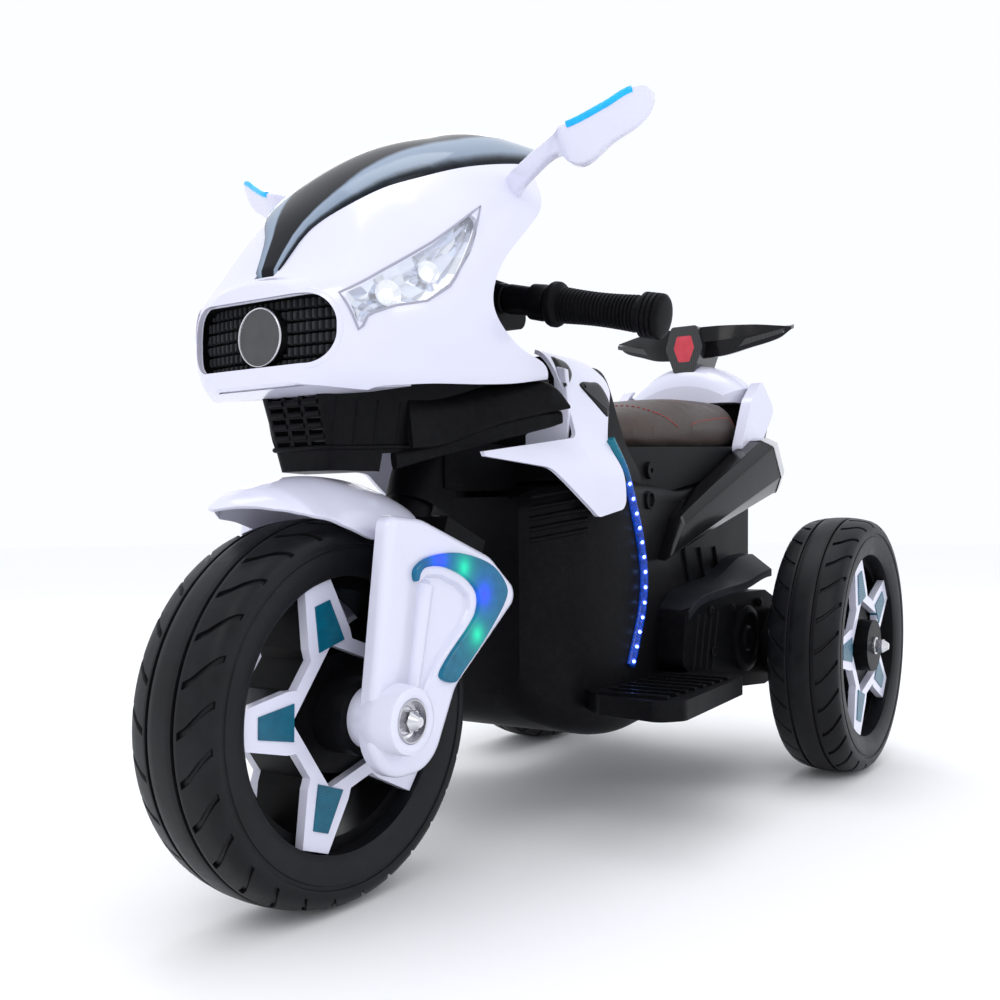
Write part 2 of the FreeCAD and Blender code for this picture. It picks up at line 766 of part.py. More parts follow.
def mouth_prism():
    """Prism through the mouth of the cowl."""
    half = mouth_half_width
    corners = [(-half, mouth_low), (half, mouth_low), (half, mouth_high), (-half, mouth_high)]
    turns = same_turns(corners, mouth_turn)
    return front_prism(corners, turns, front_y - rear_track, front_y + grille_front)


def cowl_nodes():
    """Cowl, windshield, headlights, grille and bracket, all parted from one skin."""
    inside = cowl_solid(wall)
    skin = cowl_solid(0).cut(inside).cut(cowl_rear())
    glass = skin.common(screen_prism())
    left_light = headlight_prism(0)
    lights = Part.makeCompound([left_light, mirrored(left_light)])
    lenses = skin.common(lights)
    fairing = skin.cut(screen_prism()).cut(lights).cut(mouth_prism())
    deep = cowl_solid(wall + reflector_depth)
    pan = inside.cut(deep).common(lights).cut(screen_prism()).cut(cowl_rear())
    grille_y = front_y + grille_front
    slab = block(-rear_track / 2, rear_track / 2, grille_y, grille_y + grille_thickness,
                 axle_z + mouth_low - 2 * wall, axle_z * 4)
    grille = inside.common(slab).cut(lights)
    steps = int(mouth_half_width / grille_pitch)
    rows = int((mouth_high - mouth_low) / grille_pitch / 2)
    hole = (grille_pitch - grille_bar) / 2
    holes = []
    for i in range(-steps + 1, steps):
        for j in range(-rows, rows + 1):
            x = i * grille_pitch
            z = axle_z + badge_height + j * grille_pitch * grille_row_share
            low = z - hole * grille_row_share
            high = z + hole * grille_row_share
            holes.append(block(x - hole, x + hole, grille_y, grille_y + grille_thickness, low, high))
    grille = grille.cut(Part.makeCompound(holes))
    badge = Part.makeCylinder(badge_radius, badge_depth, V(0, grille_y, axle_z + badge_height), V(0, -1, 0))
    shelf = axle_z + bracket_height
    plate = inside.common(block(-rear_track / 2, rear_track / 2, front_y + bracket_front,
                                front_y + bracket_rear, shelf, shelf + bracket_thickness))
    boss_mid = (bracket_height - head_above) / math.cos(math.radians(steering_rake_deg))
    clamp = steered(Part.makeCylinder(clamp_radius, 2 * collar_height, V(0, 0, boss_mid - collar_height)))
    bracket = plate.cut(cowl_rear()).fuse(clamp).cut(stem_room()).cut(lights).removeSplitter()
    bracket = bracket.cut(pan)
    return {
        "front_fairing": fairing,
        "windshield": glass,
        "headlight_lenses": lenses,
        "headlight_reflectors": pan,
        "front_grille": grille,
        "badge_disc": badge,
        "fairing_bracket": bracket,
    }


def fairing_lower(bracket):
    """Wedge-shaped skirt under the cowl with rows of slots in its front."""
    foot = axle_z + louvre_foot_height
    top = axle_z + bracket_height
    outer = Part.makeLoft([plan_wire(louvre_foot, louvre_turn, foot, front_y),
                           plan_wire(louvre_top, louvre_turn, top, front_y)], True, True)

    def inner_corners(corners):
        rear = max(b for a, b in corners)
        return [(a - math.copysign(wall, a), b + (wall if b < rear else louvre_open)) for a, b in corners]

    low = plan_wire(inner_corners(louvre_foot), louvre_turn, foot + wall, front_y)
    high = plan_wire(inner_corners(louvre_top), louvre_turn, top + wall, front_y)
    inner = Part.makeLoft([low, high], True, True)
    under = side_prism(louvre_under, same_turns(louvre_under, 0), -rear_track / 2, rear_track / 2, front_y)
    shell = outer.cut(inner).cut(under).cut(bracket)
    slots = []
    for row in range(slot_rows):
        for column in range(slot_columns):
            x = (column - (slot_columns - 1) / 2) * slot_pitch_x
            z = axle_z + slot_lowest + row * slot_pitch_z
            slots.append(block(x - slot_width / 2, x + slot_width / 2, front_y - wheel_radius,
                               front_y + louvre_foot[0][1], z, z + slot_height))
    return shell.cut(Part.makeCompound(slots))


def bar_direction():
    """Direction of the left half of the handlebar beyond its straight middle."""
    droop = math.radians(bar_droop_deg)
    sweep = math.radians(bar_sweep_deg)
    return V(math.cos(droop) * math.cos(sweep), math.cos(droop) * math.sin(sweep), -math.sin(droop))


def bar_knee():
    """Where the left half of the handlebar bends."""
    return V(bar_straight_half, front_y + bar_ahead, axle_z + bar_height)


def handlebar_tube():
    """Round bar with two drooping arms."""
    knee = bar_knee()
    arm = Part.makeCylinder(bar_radius, bar_arm_length, knee, bar_direction())
    ball = Part.makeSphere(bar_radius, knee)
    middle = x_rod(bar_radius, -bar_straight_half, bar_straight_half, knee.y, knee.z)
    left = arm.fuse(ball)
    return middle.fuse([left, mirrored(left)]).removeSplitter()


def handle_grip():
    """Left ribbed grip, closed at its outer end."""
    along = bar_direction()
    start = bar_knee() + along * grip_start

    def sleeve(radius, begin, length):
        return Part.makeCylinder(radius, length, start + along * begin, along)

    body = sleeve(grip_radius, 0, grip_length)
    parts = [sleeve(grip_collar_radius, 0, grip_collar_length),
             sleeve(grip_end_radius, grip_length - grip_end_length, grip_end_length)]
    pitch = (grip_length - grip_collar_length - grip_end_length) / (grip_rib_count + 1)
    for i in range(1, grip_rib_count + 1):
        parts.append(sleeve(grip_radius + grip_rib, grip_collar_length + i * pitch - pitch / 4, pitch / 2))
    bar = Part.makeCylinder(bar_radius, bar_arm_length, bar_knee(), along)
    return body.fuse(parts).cut(bar).removeSplitter()


def handlebar_cover(tube):
    """Rounded block that clamps the bar to the stem."""
    corners = [(bar_cover_front, bar_cover_low), (bar_cover_rear, bar_cover_low),
               (bar_cover_rear, bar_cover_high), (bar_cover_front, bar_cover_high)]
    turns = same_turns(corners, bar_cover_turn)
    cover = side_prism(corners, turns, -bar_cover_half, bar_cover_half, front_y)
    return cover.cut(tube).cut(stem_room())


def head_wire(x, y, z, half_y, half_z):
    """Section of the mirror head across X, a rectangle with well turned corners."""
    corners = [(-half_y, -half_z), (half_y, -half_z), (half_y, half_z), (-half_y, half_z)]
    turns = same_turns(corners, min(half_y, half_z) * mirror_turn_share)
    return rounded_wire(corners, turns, lambda a, b: V(x, y + a, z + b))


def mirror_nodes(skin):
    """Left mirror head with its arm, the coloured signal in its front edge and the glass in its back."""
    def head_at(depth):
        return Part.makeLoft([head_wire(x, front_y + y, axle_z + z, half_y - depth, half_z - depth)
                              for x, y, z, half_y, half_z in mirror_sections], True, False)

    head = head_at(0)
    root = V(mirror_root[0], front_y + mirror_root[1], axle_z + mirror_root[2])
    elbow = V(mirror_elbow[0], front_y + mirror_elbow[1], axle_z + mirror_elbow[2])
    arm = Part.makeCylinder(mirror_arm_radius, (elbow - root).Length, root, elbow - root)
    housing = biggest(head.fuse(arm).cut(skin))
    first = mirror_sections[1]
    last = mirror_sections[-2]
    low = V(first[0], front_y + first[1], axle_z + first[2])
    high = V(last[0], front_y + last[1], axle_z + last[2])
    along = high - low
    back_y = front_y + first[1] + first[3] / 2
    slab = block(first[0], last[0], back_y, back_y + wheel_radius, axle_z, axle_z * 6)
    cap = housing.common(slab)
    housing = housing.cut(slab)
    glass = cap.common(block(first[0], last[0], back_y, back_y + mirror_glass_depth, axle_z, axle_z * 6))
    band = Part.makeBox(along.Length, signal_depth * 6, signal_width)
    band.Placement = FreeCAD.Placement(low + V(0, -first[3] - signal_depth * 3, first[4] * signal_lift),
                                       FreeCAD.Rotation(V(1, 0, 0), along))
    signal = housing.common(band).cut(head_at(signal_depth))
    housing = housing.cut(signal)
    return {"mirror_housings": pair(housing), "mirror_signals": pair(signal), "mirror_glasses": pair(glass)}


def body_half(depth):
    """Left half of the lower body, filled, or its inside at a depth below the skin."""
    stations = [(front_y + ahead, values) for ahead, *values in body_front_sections]
    stations += [(rear_y + behind, values) for behind, *values in body_rear_sections]
    first = stations[0][0]
    last = stations[-1][0]
    turns = [0, body_floor_turn, body_top_turn, 0]
    wires = []
    for i in range(body_rows + 1):
        share = i / body_rows
        half, low, high = between(stations, first + share * (last - first))
        y = first + depth + share * (last - first - 2 * depth)
        side = half - depth
        corners = [(0, low + depth), (side, low + depth), (side, high - depth), (0, high - depth)]
        wires.append(rounded_wire(corners, turns, lambda a, b: V(a, y, axle_z + b)))
    return Part.makeLoft(wires, True, False)


def body_solid(depth):
    """Both halves of the lower body."""
    left = body_half(depth)
    return left.fuse(mirrored(left)).removeSplitter()


def flank_curve(depth, pull, y):
    """Tank flank as a curve at one station."""
    points = inset(flank, depth) if depth else flank
    curve = Part.BSplineCurve()
    curve.interpolate([V(a * pull, y, axle_z + b) for a, b in points])
    return curve.toShape()


def strip_between(first, second):
    """Closed wire between two curves that run the same way."""
    return Part.Wire(Part.__sortEdges__([
        first, second,
        Part.makeLine(first.Vertexes[0].Point, second.Vertexes[0].Point),
        Part.makeLine(first.Vertexes[-1].Point, second.Vertexes[-1].Point)]))


def side_panel():
    """Left white panel: flank skin trimmed to its side-view outline, drawn in towards its front tip."""
    def wire(pull, y):
        return strip_between(flank_curve(0, pull, y), flank_curve(panel_thickness, pull, y))

    tank_y = front_y + tank_front
    rear_part = Part.Face(wire(1.0, tank_y)).extrude(V(0, tank_rear - tank_front, 0))
    front_part = Part.makeLoft([wire(panel_tip_pull, front_y + panel_tip), wire(1.0, tank_y)], True, True)
    skin = rear_part.fuse(front_part)
    outline = side_prism(panel_edge, panel_turns, 0, rear_track / 2, front_y)
    trimmed = skin.common(outline).removeSplitter()
    return biggest(trimmed)


def tank_solid():
    """Filled tank core under the side panels."""
    left_curve = flank_curve(panel_thickness, 1.0, front_y + tank_front)
    room = block(0, rear_track, front_y + tank_front - wall, front_y + tank_rear + wall,
                 axle_z + tank_foot, axle_z + tank_crown)
    ends = [left_curve.Vertexes[0].Point, left_curve.Vertexes[-1].Point]
    middle = [V(0, front_y + tank_front, ends[0].z), V(0, front_y + tank_front, ends[1].z)]
    lines = [Part.makeLine(ends[1], middle[1]), Part.makeLine(middle[1], middle[0]),
             Part.makeLine(middle[0], ends[0])]
    wire = Part.Wire(Part.__sortEdges__([left_curve] + lines))
    left = Part.Face(wire).extrude(V(0, tank_rear - tank_front, 0)).common(room)
    return left.fuse(mirrored(left)).removeSplitter()


def switch_places():
    """Centres of the two rocking keys on the tank."""
    y = front_y + switch_row
    z = axle_z + tank_crown
    return {"power_switch": V(switch_spacing / 2, y, z), "direction_switch": V(-switch_spacing / 2, y, z)}


def switch_key(place):
    """Rocking key with its pivot pin across X."""
    pivot = V(0, 0, -switch_pivot_drop)
    body = block(-switch_width / 2, switch_width / 2, -switch_length / 2, switch_length / 2,
                 -switch_pivot_drop, switch_proud)
    round_foot = x_rod(switch_length / 2, -switch_width / 2, switch_width / 2, 0, -switch_pivot_drop)
    key = round_foot.common(block(-switch_width, switch_width, -switch_length, switch_length,
                                  -switch_height, switch_proud)).common(round_foot.fuse(body))
    pin = x_rod(switch_pivot_radius, -switch_width / 2 - wall, switch_width / 2 + wall, 0, pivot.z)
    key = key.fuse(pin).removeSplitter()
    key.rotate(pivot, V(1, 0, 0), -switch_tilt_deg)
    key.translate(place)
    return key


def switch_room(place):
    """Slot in the tank top for one rocking key, with holes for its pivot pin."""
    half_x = switch_width / 2 + switch_gap
    slot = x_rod(switch_length / 2 + switch_gap, -half_x, half_x, 0, -switch_pivot_drop)
    pin_half = half_x + wall
    pin = x_rod(switch_pivot_radius + running_clearance, -pin_half, pin_half, 0, -switch_pivot_drop)
    room = slot.fuse(pin)
    room.translate(place)
    return room


def tank_cover(strips, arm):
    """Hollow tank core with a switch well in its top."""
    solid = tank_solid()
    well_depth = switch_length
    hollow = block(-flank[-1][0] + 2 * wall, flank[-1][0] - 2 * wall, front_y + tank_front + wall,
                   front_y + tank_rear - wall, axle_z + tank_foot, axle_z + tank_crown - well_depth)
    cover = solid.cut(hollow).cut(strips).cut(arm)
    for place in switch_places().values():
        cover = cover.cut(switch_room(place))
    return cover


def led_strip():
    """Left glowing strip, a band along a curve in the side view."""
    left = []
    right = []
    last = len(strip_path) - 1
    for i, (a, b) in enumerate(strip_path):
        before = strip_path[max(i - 1, 0)]
        after = strip_path[min(i + 1, last)]
        normal = V(0, after[1] - before[1], before[0] - after[0])
        normal.normalize()
        here = V(strip_inner_x, front_y + a, axle_z + b)
        left.append(here + normal * (strip_width / 2))
        right.append(here - normal * (strip_width / 2))
    first = Part.BSplineCurve()
    first.interpolate(left)
    second = Part.BSplineCurve()
    second.interpolate(right)
    wire = strip_between(first.toShape(), second.toShape())
    return Part.Face(wire).extrude(V(strip_outer_x - strip_inner_x, 0, 0))


def footrest(body, case):
    """Left ribbed footboard against the body and the drive housing."""
    wire = rounded_wire(board_edge, board_turns, lambda a, b: V(a, front_y + b, axle_z + board_low))
    board = Part.Face(wire).extrude(V(0, 0, board_high - board_low))
    ribs = []
    front = board_edge[2][1] + board_turns[2]
    rear = board_edge[4][1] - board_turns[4]
    pitch = (rear - front) / board_rib_count
    for i in range(board_rib_count):
        y = front_y + front + i * pitch
        ribs.append(block(board_edge[1][0], board_edge[4][0] - wall, y, y + board_rib_width,
                          axle_z + board_high, axle_z + board_high + board_rib_height))
    return ribs, board.cut(body).cut(case)


def pedal_pivot():
    """Centre of the throttle pedal's hinge on the right footboard."""
    return V(-pedal_x, front_y + pedal_hinge_y, axle_z + board_high + board_rib_height + pedal_hinge_height)


def throttle_pedal():
    """Pedal plate on a barrel, raised by its spring."""
    barrel = x_rod(pedal_barrel_radius, -pedal_width / 2, pedal_width / 2, 0, 0)
    plate = block(-pedal_width / 2, pedal_width / 2, -pedal_length, 0,
                  -pedal_thickness / 2, pedal_thickness / 2)
    bore = x_rod(pedal_pin_radius + running_clearance, -pedal_width / 2, pedal_width / 2, 0, 0)
    pedal = barrel.fuse(plate).cut(bore)
    pedal.rotate(V(0, 0, 0), V(1, 0, 0), -pedal_rise_deg)
    pedal.translate(pedal_pivot())
    return pedal


def footrest_right(body, case):
    """Right footboard: plain under the pedal, with two lugs and a pin that carry it."""
    ribs, trimmed = footrest(body, case)
    pivot = pedal_pivot()
    half = pedal_width / 2
    deck = axle_z + board_high
    kept = []
    for rib in ribs:
        right = mirrored(rib)
        bay = block(-pedal_x - half - wall, -pedal_x + half + wall, pivot.y - pedal_length - wall,
                    pivot.y + pedal_barrel_radius + wall, deck, deck + wheel_radius)
        kept += right.cut(bay).Solids
    lugs = []
    for side in (-1, 1):
        inner = -pedal_x + side * (half + end_play)
        outer = inner + side * pedal_lug_width
        lugs.append(block(min(inner, outer), max(inner, outer), pivot.y - pedal_barrel_radius,
                          pivot.y + pedal_barrel_radius, deck, pivot.z + pedal_barrel_radius))
    pin_half = half + pedal_lug_width
    pin = x_rod(pedal_pin_radius, -pedal_x - pin_half, -pedal_x + pin_half, pivot.y, pivot.z)
    return mirrored(trimmed).fuse(kept + lugs + [pin]).removeSplitter()


def footrest_left(body, case):
    """Left footboard with all its ribs."""
    ribs, trimmed = footrest(body, case)
    return trimmed.fuse(ribs).removeSplitter()


def seat_plane(share):
    """Height of the seat pan's top between its front and rear ends."""
    return axle_z + seat_plane_front + share * (seat_plane_rear - seat_plane_front)


def seat_ends():
    """Front and rear of the cushion."""
    return front_y + tank_rear + seat_tank_gap, rear_y + seat_rear


def seat_cushion():
    """Crowned cushion, drawn in at its sides and ends."""
    begin, end = seat_ends()
    sections = []
    stations = [(share, values) for share, *values in seat_stations]
    for i in range(seat_rows + 1):
        share = i / seat_rows
        half, height = between(stations, share)
        y = begin + share * (end - begin)
        foot = seat_plane(share)
        inner = half - height * seat_foot_draw
        side = foot + height * seat_side_share
        brow = foot + height * seat_brow_share
        top_half = half - height * seat_brow_draw
        right_side = Part.Arc(V(inner, y, foot), V(half, y, side), V(top_half, y, brow)).toShape()
        crown = Part.Arc(V(top_half, y, brow), V(0, y, foot + height), V(-top_half, y, brow)).toShape()
        left_side = Part.Arc(V(-top_half, y, brow), V(-half, y, side), V(-inner, y, foot)).toShape()
        base = Part.makeLine(V(-inner, y, foot), V(inner, y, foot))
        sections.append(Part.Wire([right_side, crown, left_side, base]))
    return Part.makeLoft(sections, True, False)


def seat_base(body, socket):
    """Seat pan whose tail rises behind the cushion to carry the hump."""
    end = seat_ends()[1]
    front = front_y + seat_base_front
    points = [(front, seat_base_low), (front_y + seat_base_bend, seat_base_low)]
    points += [(rear_y + a, b) for a, b in tail_foot]
    points += [(end + wall, seat_plane(1) - axle_z), (front, seat_plane(0) - axle_z)]
    wire = Part.makePolygon([V(-seat_half_width, a, axle_z + b) for a, b in points + points[:1]])
    pan = Part.Face(wire).extrude(V(2 * seat_half_width, 0, 0))
    pan = pan.cut(seat_room())
    return pan.cut(body).cut(socket)


def seat_room():
    """Wedge above the tilted pan that the cushion takes."""
    begin, end = seat_ends()
    front = front_y + seat_base_front
    rise = (seat_plane_rear - seat_plane_front) / (end - begin)
    corners = [(front - wall, seat_plane(0) - (begin - front + wall) * rise),
               (end + wall, seat_plane(1) + wall * rise)]
    points = [V(-rear_track, a, b) for a, b in corners]
    points += [V(-rear_track, corners[1][0], axle_z * 4), V(-rear_track, corners[0][0], axle_z * 4)]
    return Part.Face(Part.makePolygon(points + points[:1])).extrude(V(2 * rear_track, 0, 0))


def tail_cowl(pan, cushion):
    """White hump behind the cushion."""
    sections = []
    foot = axle_z + tail_deck
    for behind, half, height in cowl_hump:
        y = rear_y + behind
        inner = half - height * hump_draw
        brow = foot + height * hump_brow_share
        arch = Part.Arc(V(half, y, brow), V(0, y, foot + height), V(-half, y, brow)).toShape()
        sides = [Part.makeLine(V(-half, y, brow), V(-inner, y, foot)),
                 Part.makeLine(V(-inner, y, foot), V(inner, y, foot)),
                 Part.makeLine(V(inner, y, foot), V(half, y, brow))]
        sections.append(Part.Wire([arch] + sides))
    return Part.makeLoft(sections, True, False).cut(pan).cut(cushion)


def tail_arm(hump, can):
    """Left white arm beside the tail."""
    arm = side_prism(arm_edge, arm_turns, seat_half_width, seat_half_width + arm_thickness, rear_y)
    return arm.cut(hump).cut(can)


def blade_wire(x, section):
    """Slanted four-sided section of a wing blade."""
    front, front_z, rear, rear_z, thickness = section
    low = [V(x, rear_y + front, axle_z + front_z), V(x, rear_y + rear, axle_z + rear_z)]
    high = [point + V(0, 0, thickness) for point in reversed(low)]
    return Part.makePolygon(low + high + low[:1])


def tail_wing(hump):
    """Boss on the hump with two raised blades."""
    turns = same_turns(wing_boss_edge, wing_boss_turn)
    boss = front_prism(wing_boss_edge, turns, rear_y + wing_boss_front, rear_y + wing_boss_rear)
    blade = Part.makeLoft([blade_wire(wing_root_x, wing_root), blade_wire(wing_tip_x, wing_tip)], True, True)
    return boss.fuse([blade, mirrored(blade)]).cut(hump).removeSplitter()


def wing_insert():
    """Coloured shield let into the front of the boss."""
    inner = [(a * wing_insert_share, wing_boss_middle + (b - wing_boss_middle) * wing_insert_share)
             for a, b in wing_boss_edge]
    turns = same_turns(inner, wing_boss_turn * wing_insert_share)
    start = rear_y + wing_boss_front
    return front_prism(inner, turns, start, start + wing_insert_depth)


def muffler_nodes(body):
    """Left muffler and the tip in its end."""
    origin = V(muffler_x, rear_y + muffler_start[0], axle_z + muffler_start[1])
    lean = FreeCAD.Placement(origin, FreeCAD.Rotation(V(1, 0, 0), muffler_tilt_deg))
    wires = []
    for along, half_x, half_z in muffler_stations:
        corners = [(-half_x, -half_z), (half_x, -half_z), (half_x, half_z), (-half_x, half_z)]
        turns = same_turns(corners, half_z * muffler_turn_share)
        wires.append(rounded_wire(corners, turns, lambda a, b: V(a, along, b)))
    can = Part.makeLoft(wires, True, True)
    end = muffler_stations[-1][0]
    tip = Part.makeCylinder(muffler_tip_radius, muffler_tip_length, V(0, end, 0), V(0, 1, 0))
    tip = tip.cut(Part.makeCylinder(muffler_tip_bore, muffler_tip_length, V(0, end, 0), V(0, 1, 0)))
    can.Placement = lean
    tip.Placement = lean
    return can.cut(body), tip


def gearbox(body):
    """Left drive housing beside the body, with a boss round the axle."""
    case = side_prism(gearbox_edge, same_turns(gearbox_edge, gearbox_turn), 0, gearbox_outer_x, rear_y)
    boss = x_rod(gearbox_boss_radius, 0, gearbox_face_x, rear_y, axle_z)
    hole = x_rod(rear_axle_radius, 0, gearbox_face_x, rear_y, axle_z)
    return case.fuse(boss).cut(body).cut(hole).removeSplitter()


def motor(inside):
    """Left motor inside the body, its shaft in the housing wall."""
    y = rear_y + motor_behind
    z = axle_z + motor_height
    reach = body_rear_sections[0][1] - wall
    can = x_rod(motor_radius, reach - motor_length, reach + wall, y, z)
    return can.common(inside)


def floor_pan():
    """Flat hatch under the battery."""
    return block(-pan_half_width, pan_half_width, front_y + pan_front, rear_y + pan_rear,
                 axle_z + pan_low, axle_z + pan_low + pan_thickness)


def battery():
    """Battery standing on the hatch."""
    low = axle_z + pan_low + pan_thickness
    return block(-battery_half_width, battery_half_width, rear_y + battery_front, rear_y + battery_rear,
                 low, low + battery_height)


def charge_socket():
    """Round socket in the left side of the seat pan."""
    y = front_y + socket_ahead
    z = axle_z + socket_height
    barrel = x_rod(socket_radius, seat_half_width - 2 * socket_depth, seat_half_width + socket_proud, y, z)
    face = seat_half_width + socket_proud
    return barrel.cut(x_rod(socket_bore, face - socket_depth, face, y, z))


def body_nodes():
    """Both body halves and all that stands on them."""
    body = body_solid(0)
    inside = body_solid(wall)
    strip = led_strip()
    strips = pair(strip)
    head = steering_head()
    socket = charge_socket()
    pan = floor_pan()
    rear_axle = axle(rear_axle_radius, rear_hub_outer + end_play, rear_y)
    hatch = block(-pan_half_width, pan_half_width, pan.BoundBox.YMin, pan.BoundBox.YMax, 0, axle_z)
    shell = body.cut(inside).cut(strips).cut(head).cut(hatch).cut(rear_axle)
    left_room = block(0, rear_track, -wheelbase, wheelbase, 0, axle_z * 4)
    cushion = seat_cushion()
    base = seat_base(body, socket)
    hump = tail_cowl(base, cushion)
    cover = tank_cover(strips, head)
    panel = side_panel().cut(strip)
    can, tip = muffler_nodes(body)
    case = gearbox(body)
    wing = tail_wing(hump)
    insert = wing_insert()
    nodes = {
        "body_shell_left": shell.common(left_room),
        "body_shell_right": shell.common(mirrored(left_room)),
        "steering_head": head,
        "tank_cover": cover.cut(body),
        "side_panel_left": panel.cut(body),
        "side_panel_right": mirrored(panel.cut(body)),
        "led_strips": Part.makeCompound(strips.cut(inside).Solids),
        "footrest_left": footrest_left(body, case),
        "footrest_right": footrest_right(body, case),
        "seat_base": biggest(base.cut(cover)),
        "seat_cushion": cushion,
        "tail_cowl": hump,
        "tail_side_panels": pair(tail_arm(hump, can)),
        "tail_wing": wing.cut(insert),
        "tail_reflector": insert,
        "mufflers": pair(can),
        "muffler_tips": pair(tip),
        "gearboxes": pair(case),
        "drive_motors": pair(motor(inside)),
        "battery": battery(),
        "floor_pan": pan,
        "charge_socket": socket,
        "rear_axle": rear_axle,
        "rear_axle_nuts": pair_all(cap_nut(rear_hub_outer + end_play, rear_y, rear_axle_radius)),
        "throttle_pedal": throttle_pedal(),
    }
    for name, place in switch_places().items():
        nodes[name] = switch_key(place)
    return nodes


def steering_nodes():
    """All that turns with the handlebar, the front wheel apart."""
    well_face = boss_face_x - nut_well_depth
    tube = handlebar_tube()
    leg = fork_leg()
    nodes = cowl_nodes()
    nodes.update(mirror_nodes(cowl_solid(0)))
    nodes.update({
        "steering_stem": steering_stem(),
        "fork_leg_left": leg,
        "fork_leg_right": mirrored(leg),
        "fork_lights": pair(fork_light()),
        "front_fender": fender(),
        "front_axle": axle(front_axle_radius, well_face, front_y),
        "front_axle_nuts": pair_all(cap_nut(well_face, front_y, front_axle_radius)),
        "fairing_lower": fairing_lower(nodes["fairing_bracket"]),
        "handlebar_tube": tube,
        "handlebar_cover": handlebar_cover(tube),
        "handle_grips": pair(handle_grip()),
    })
    return nodes


def all_nodes():
    """Every node of the object by name."""
    nodes = steering_nodes()
    nodes.update(wheel_nodes("front", 0, front_y, front_wheel_phase_deg, -front_hub_half, front_hub_half,
                             front_axle_radius, (1, -1)))
    nodes.update(wheel_nodes("rear_left", rear_wheel_x, rear_y, rear_wheel_phase_deg,
                             rear_hub_inner - rear_wheel_x, rear_hub_outer - rear_wheel_x,
                             rear_axle_radius, (1,)))
    nodes.update(wheel_nodes("rear_right", -rear_wheel_x, rear_y, rear_wheel_phase_deg,
                             rear_wheel_x - rear_hub_outer, rear_wheel_x - rear_hub_inner,
                             rear_axle_radius, (-1,)))
    nodes.update(body_nodes())
    return nodes


os.makedirs("parts", exist_ok=True)
for name, shape in all_nodes().items():
    shape.exportStep("parts/" + name + ".step")
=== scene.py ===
"""Looks of a ride-on toy motorbike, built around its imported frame."""

import json
import logging
import math
from dataclasses import dataclass
from typing import Callable, Mapping, Sequence, Union

import bmesh
import bpy
import numpy as np
from mathutils import Matrix, Vector
from mathutils.bvhtree import BVHTree

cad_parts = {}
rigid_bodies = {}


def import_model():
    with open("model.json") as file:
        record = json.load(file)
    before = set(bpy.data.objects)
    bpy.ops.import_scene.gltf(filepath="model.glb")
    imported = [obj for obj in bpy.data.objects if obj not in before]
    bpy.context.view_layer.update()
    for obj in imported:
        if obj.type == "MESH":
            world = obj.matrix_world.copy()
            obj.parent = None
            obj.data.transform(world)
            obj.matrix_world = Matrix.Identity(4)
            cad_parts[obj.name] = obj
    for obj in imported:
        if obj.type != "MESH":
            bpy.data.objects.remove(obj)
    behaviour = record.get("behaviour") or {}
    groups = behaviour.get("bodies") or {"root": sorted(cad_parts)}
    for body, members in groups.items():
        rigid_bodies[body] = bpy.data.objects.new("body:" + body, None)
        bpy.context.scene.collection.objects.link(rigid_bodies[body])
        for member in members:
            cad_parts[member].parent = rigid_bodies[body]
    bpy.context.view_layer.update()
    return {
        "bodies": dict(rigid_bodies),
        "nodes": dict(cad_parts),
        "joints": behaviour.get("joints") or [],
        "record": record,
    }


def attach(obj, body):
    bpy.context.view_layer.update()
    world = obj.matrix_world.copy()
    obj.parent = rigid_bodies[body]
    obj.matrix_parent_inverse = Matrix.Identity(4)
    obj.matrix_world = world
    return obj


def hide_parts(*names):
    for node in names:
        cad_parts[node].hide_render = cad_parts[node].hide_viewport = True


LOG = logging.getLogger("ride_on")
MM = 0.001
FRONT_Y = -328.0
REAR_Y = 328.0
AXLE_Z = 150.0

Point = tuple[float, float, float]
Flat = tuple[float, float]
Colour = tuple[float, float, float]
Mesh = tuple[list, list]
Material = bpy.types.Material
Piece = bpy.types.Object


class Wire:
    """A shader socket whose operators add Math nodes."""

    def __init__(self, shade: "Shade", socket: bpy.types.NodeSocket) -> None:
        """Keeps the tree and the socket.

        Args:
            shade: the node tree the socket is in.
            socket: an output socket.
        """
        self.shade = shade
        self.socket = socket

    def maths(self, operation: str, first: "Value", second: "Value" = 0.0) -> "Wire":
        """One Math node.

        Args:
            operation: the node's operation.
            first: its first value.
            second: its second value.

        Returns:
            The node's result.
        """
        return self.shade.node("ShaderNodeMath", {"operation": operation}, {0: first, 1: second})

    def __add__(self, other: "Value") -> "Wire":
        """Sum."""
        return self.maths("ADD", self, other)

    def __radd__(self, other: "Value") -> "Wire":
        """Sum with the wire second."""
        return self.maths("ADD", other, self)

    def __sub__(self, other: "Value") -> "Wire":
        """Difference."""
        return self.maths("SUBTRACT", self, other)

    def __rsub__(self, other: "Value") -> "Wire":
        """Difference with the wire second."""
        return self.maths("SUBTRACT", other, self)

    def __mul__(self, other: "Value") -> "Wire":
        """Product."""
        return self.maths("MULTIPLY", self, other)

    def __rmul__(self, other: "Value") -> "Wire":
        """Product with the wire second."""
        return self.maths("MULTIPLY", other, self)

    def __truediv__(self, other: "Value") -> "Wire":
        """Quotient."""
        return self.maths("DIVIDE", self, other)

    def above(self, limit: "Value") -> "Wire":
        """1 where the wire is greater than a limit, else 0."""
        return self.maths("GREATER_THAN", self, limit)

    def sine(self) -> "Wire":
        """Sine of the wire."""
        return self.maths("SINE", self)

    def size(self) -> "Wire":
        """Absolute value."""
        return self.maths("ABSOLUTE", self)


Value = Union[float, Wire]


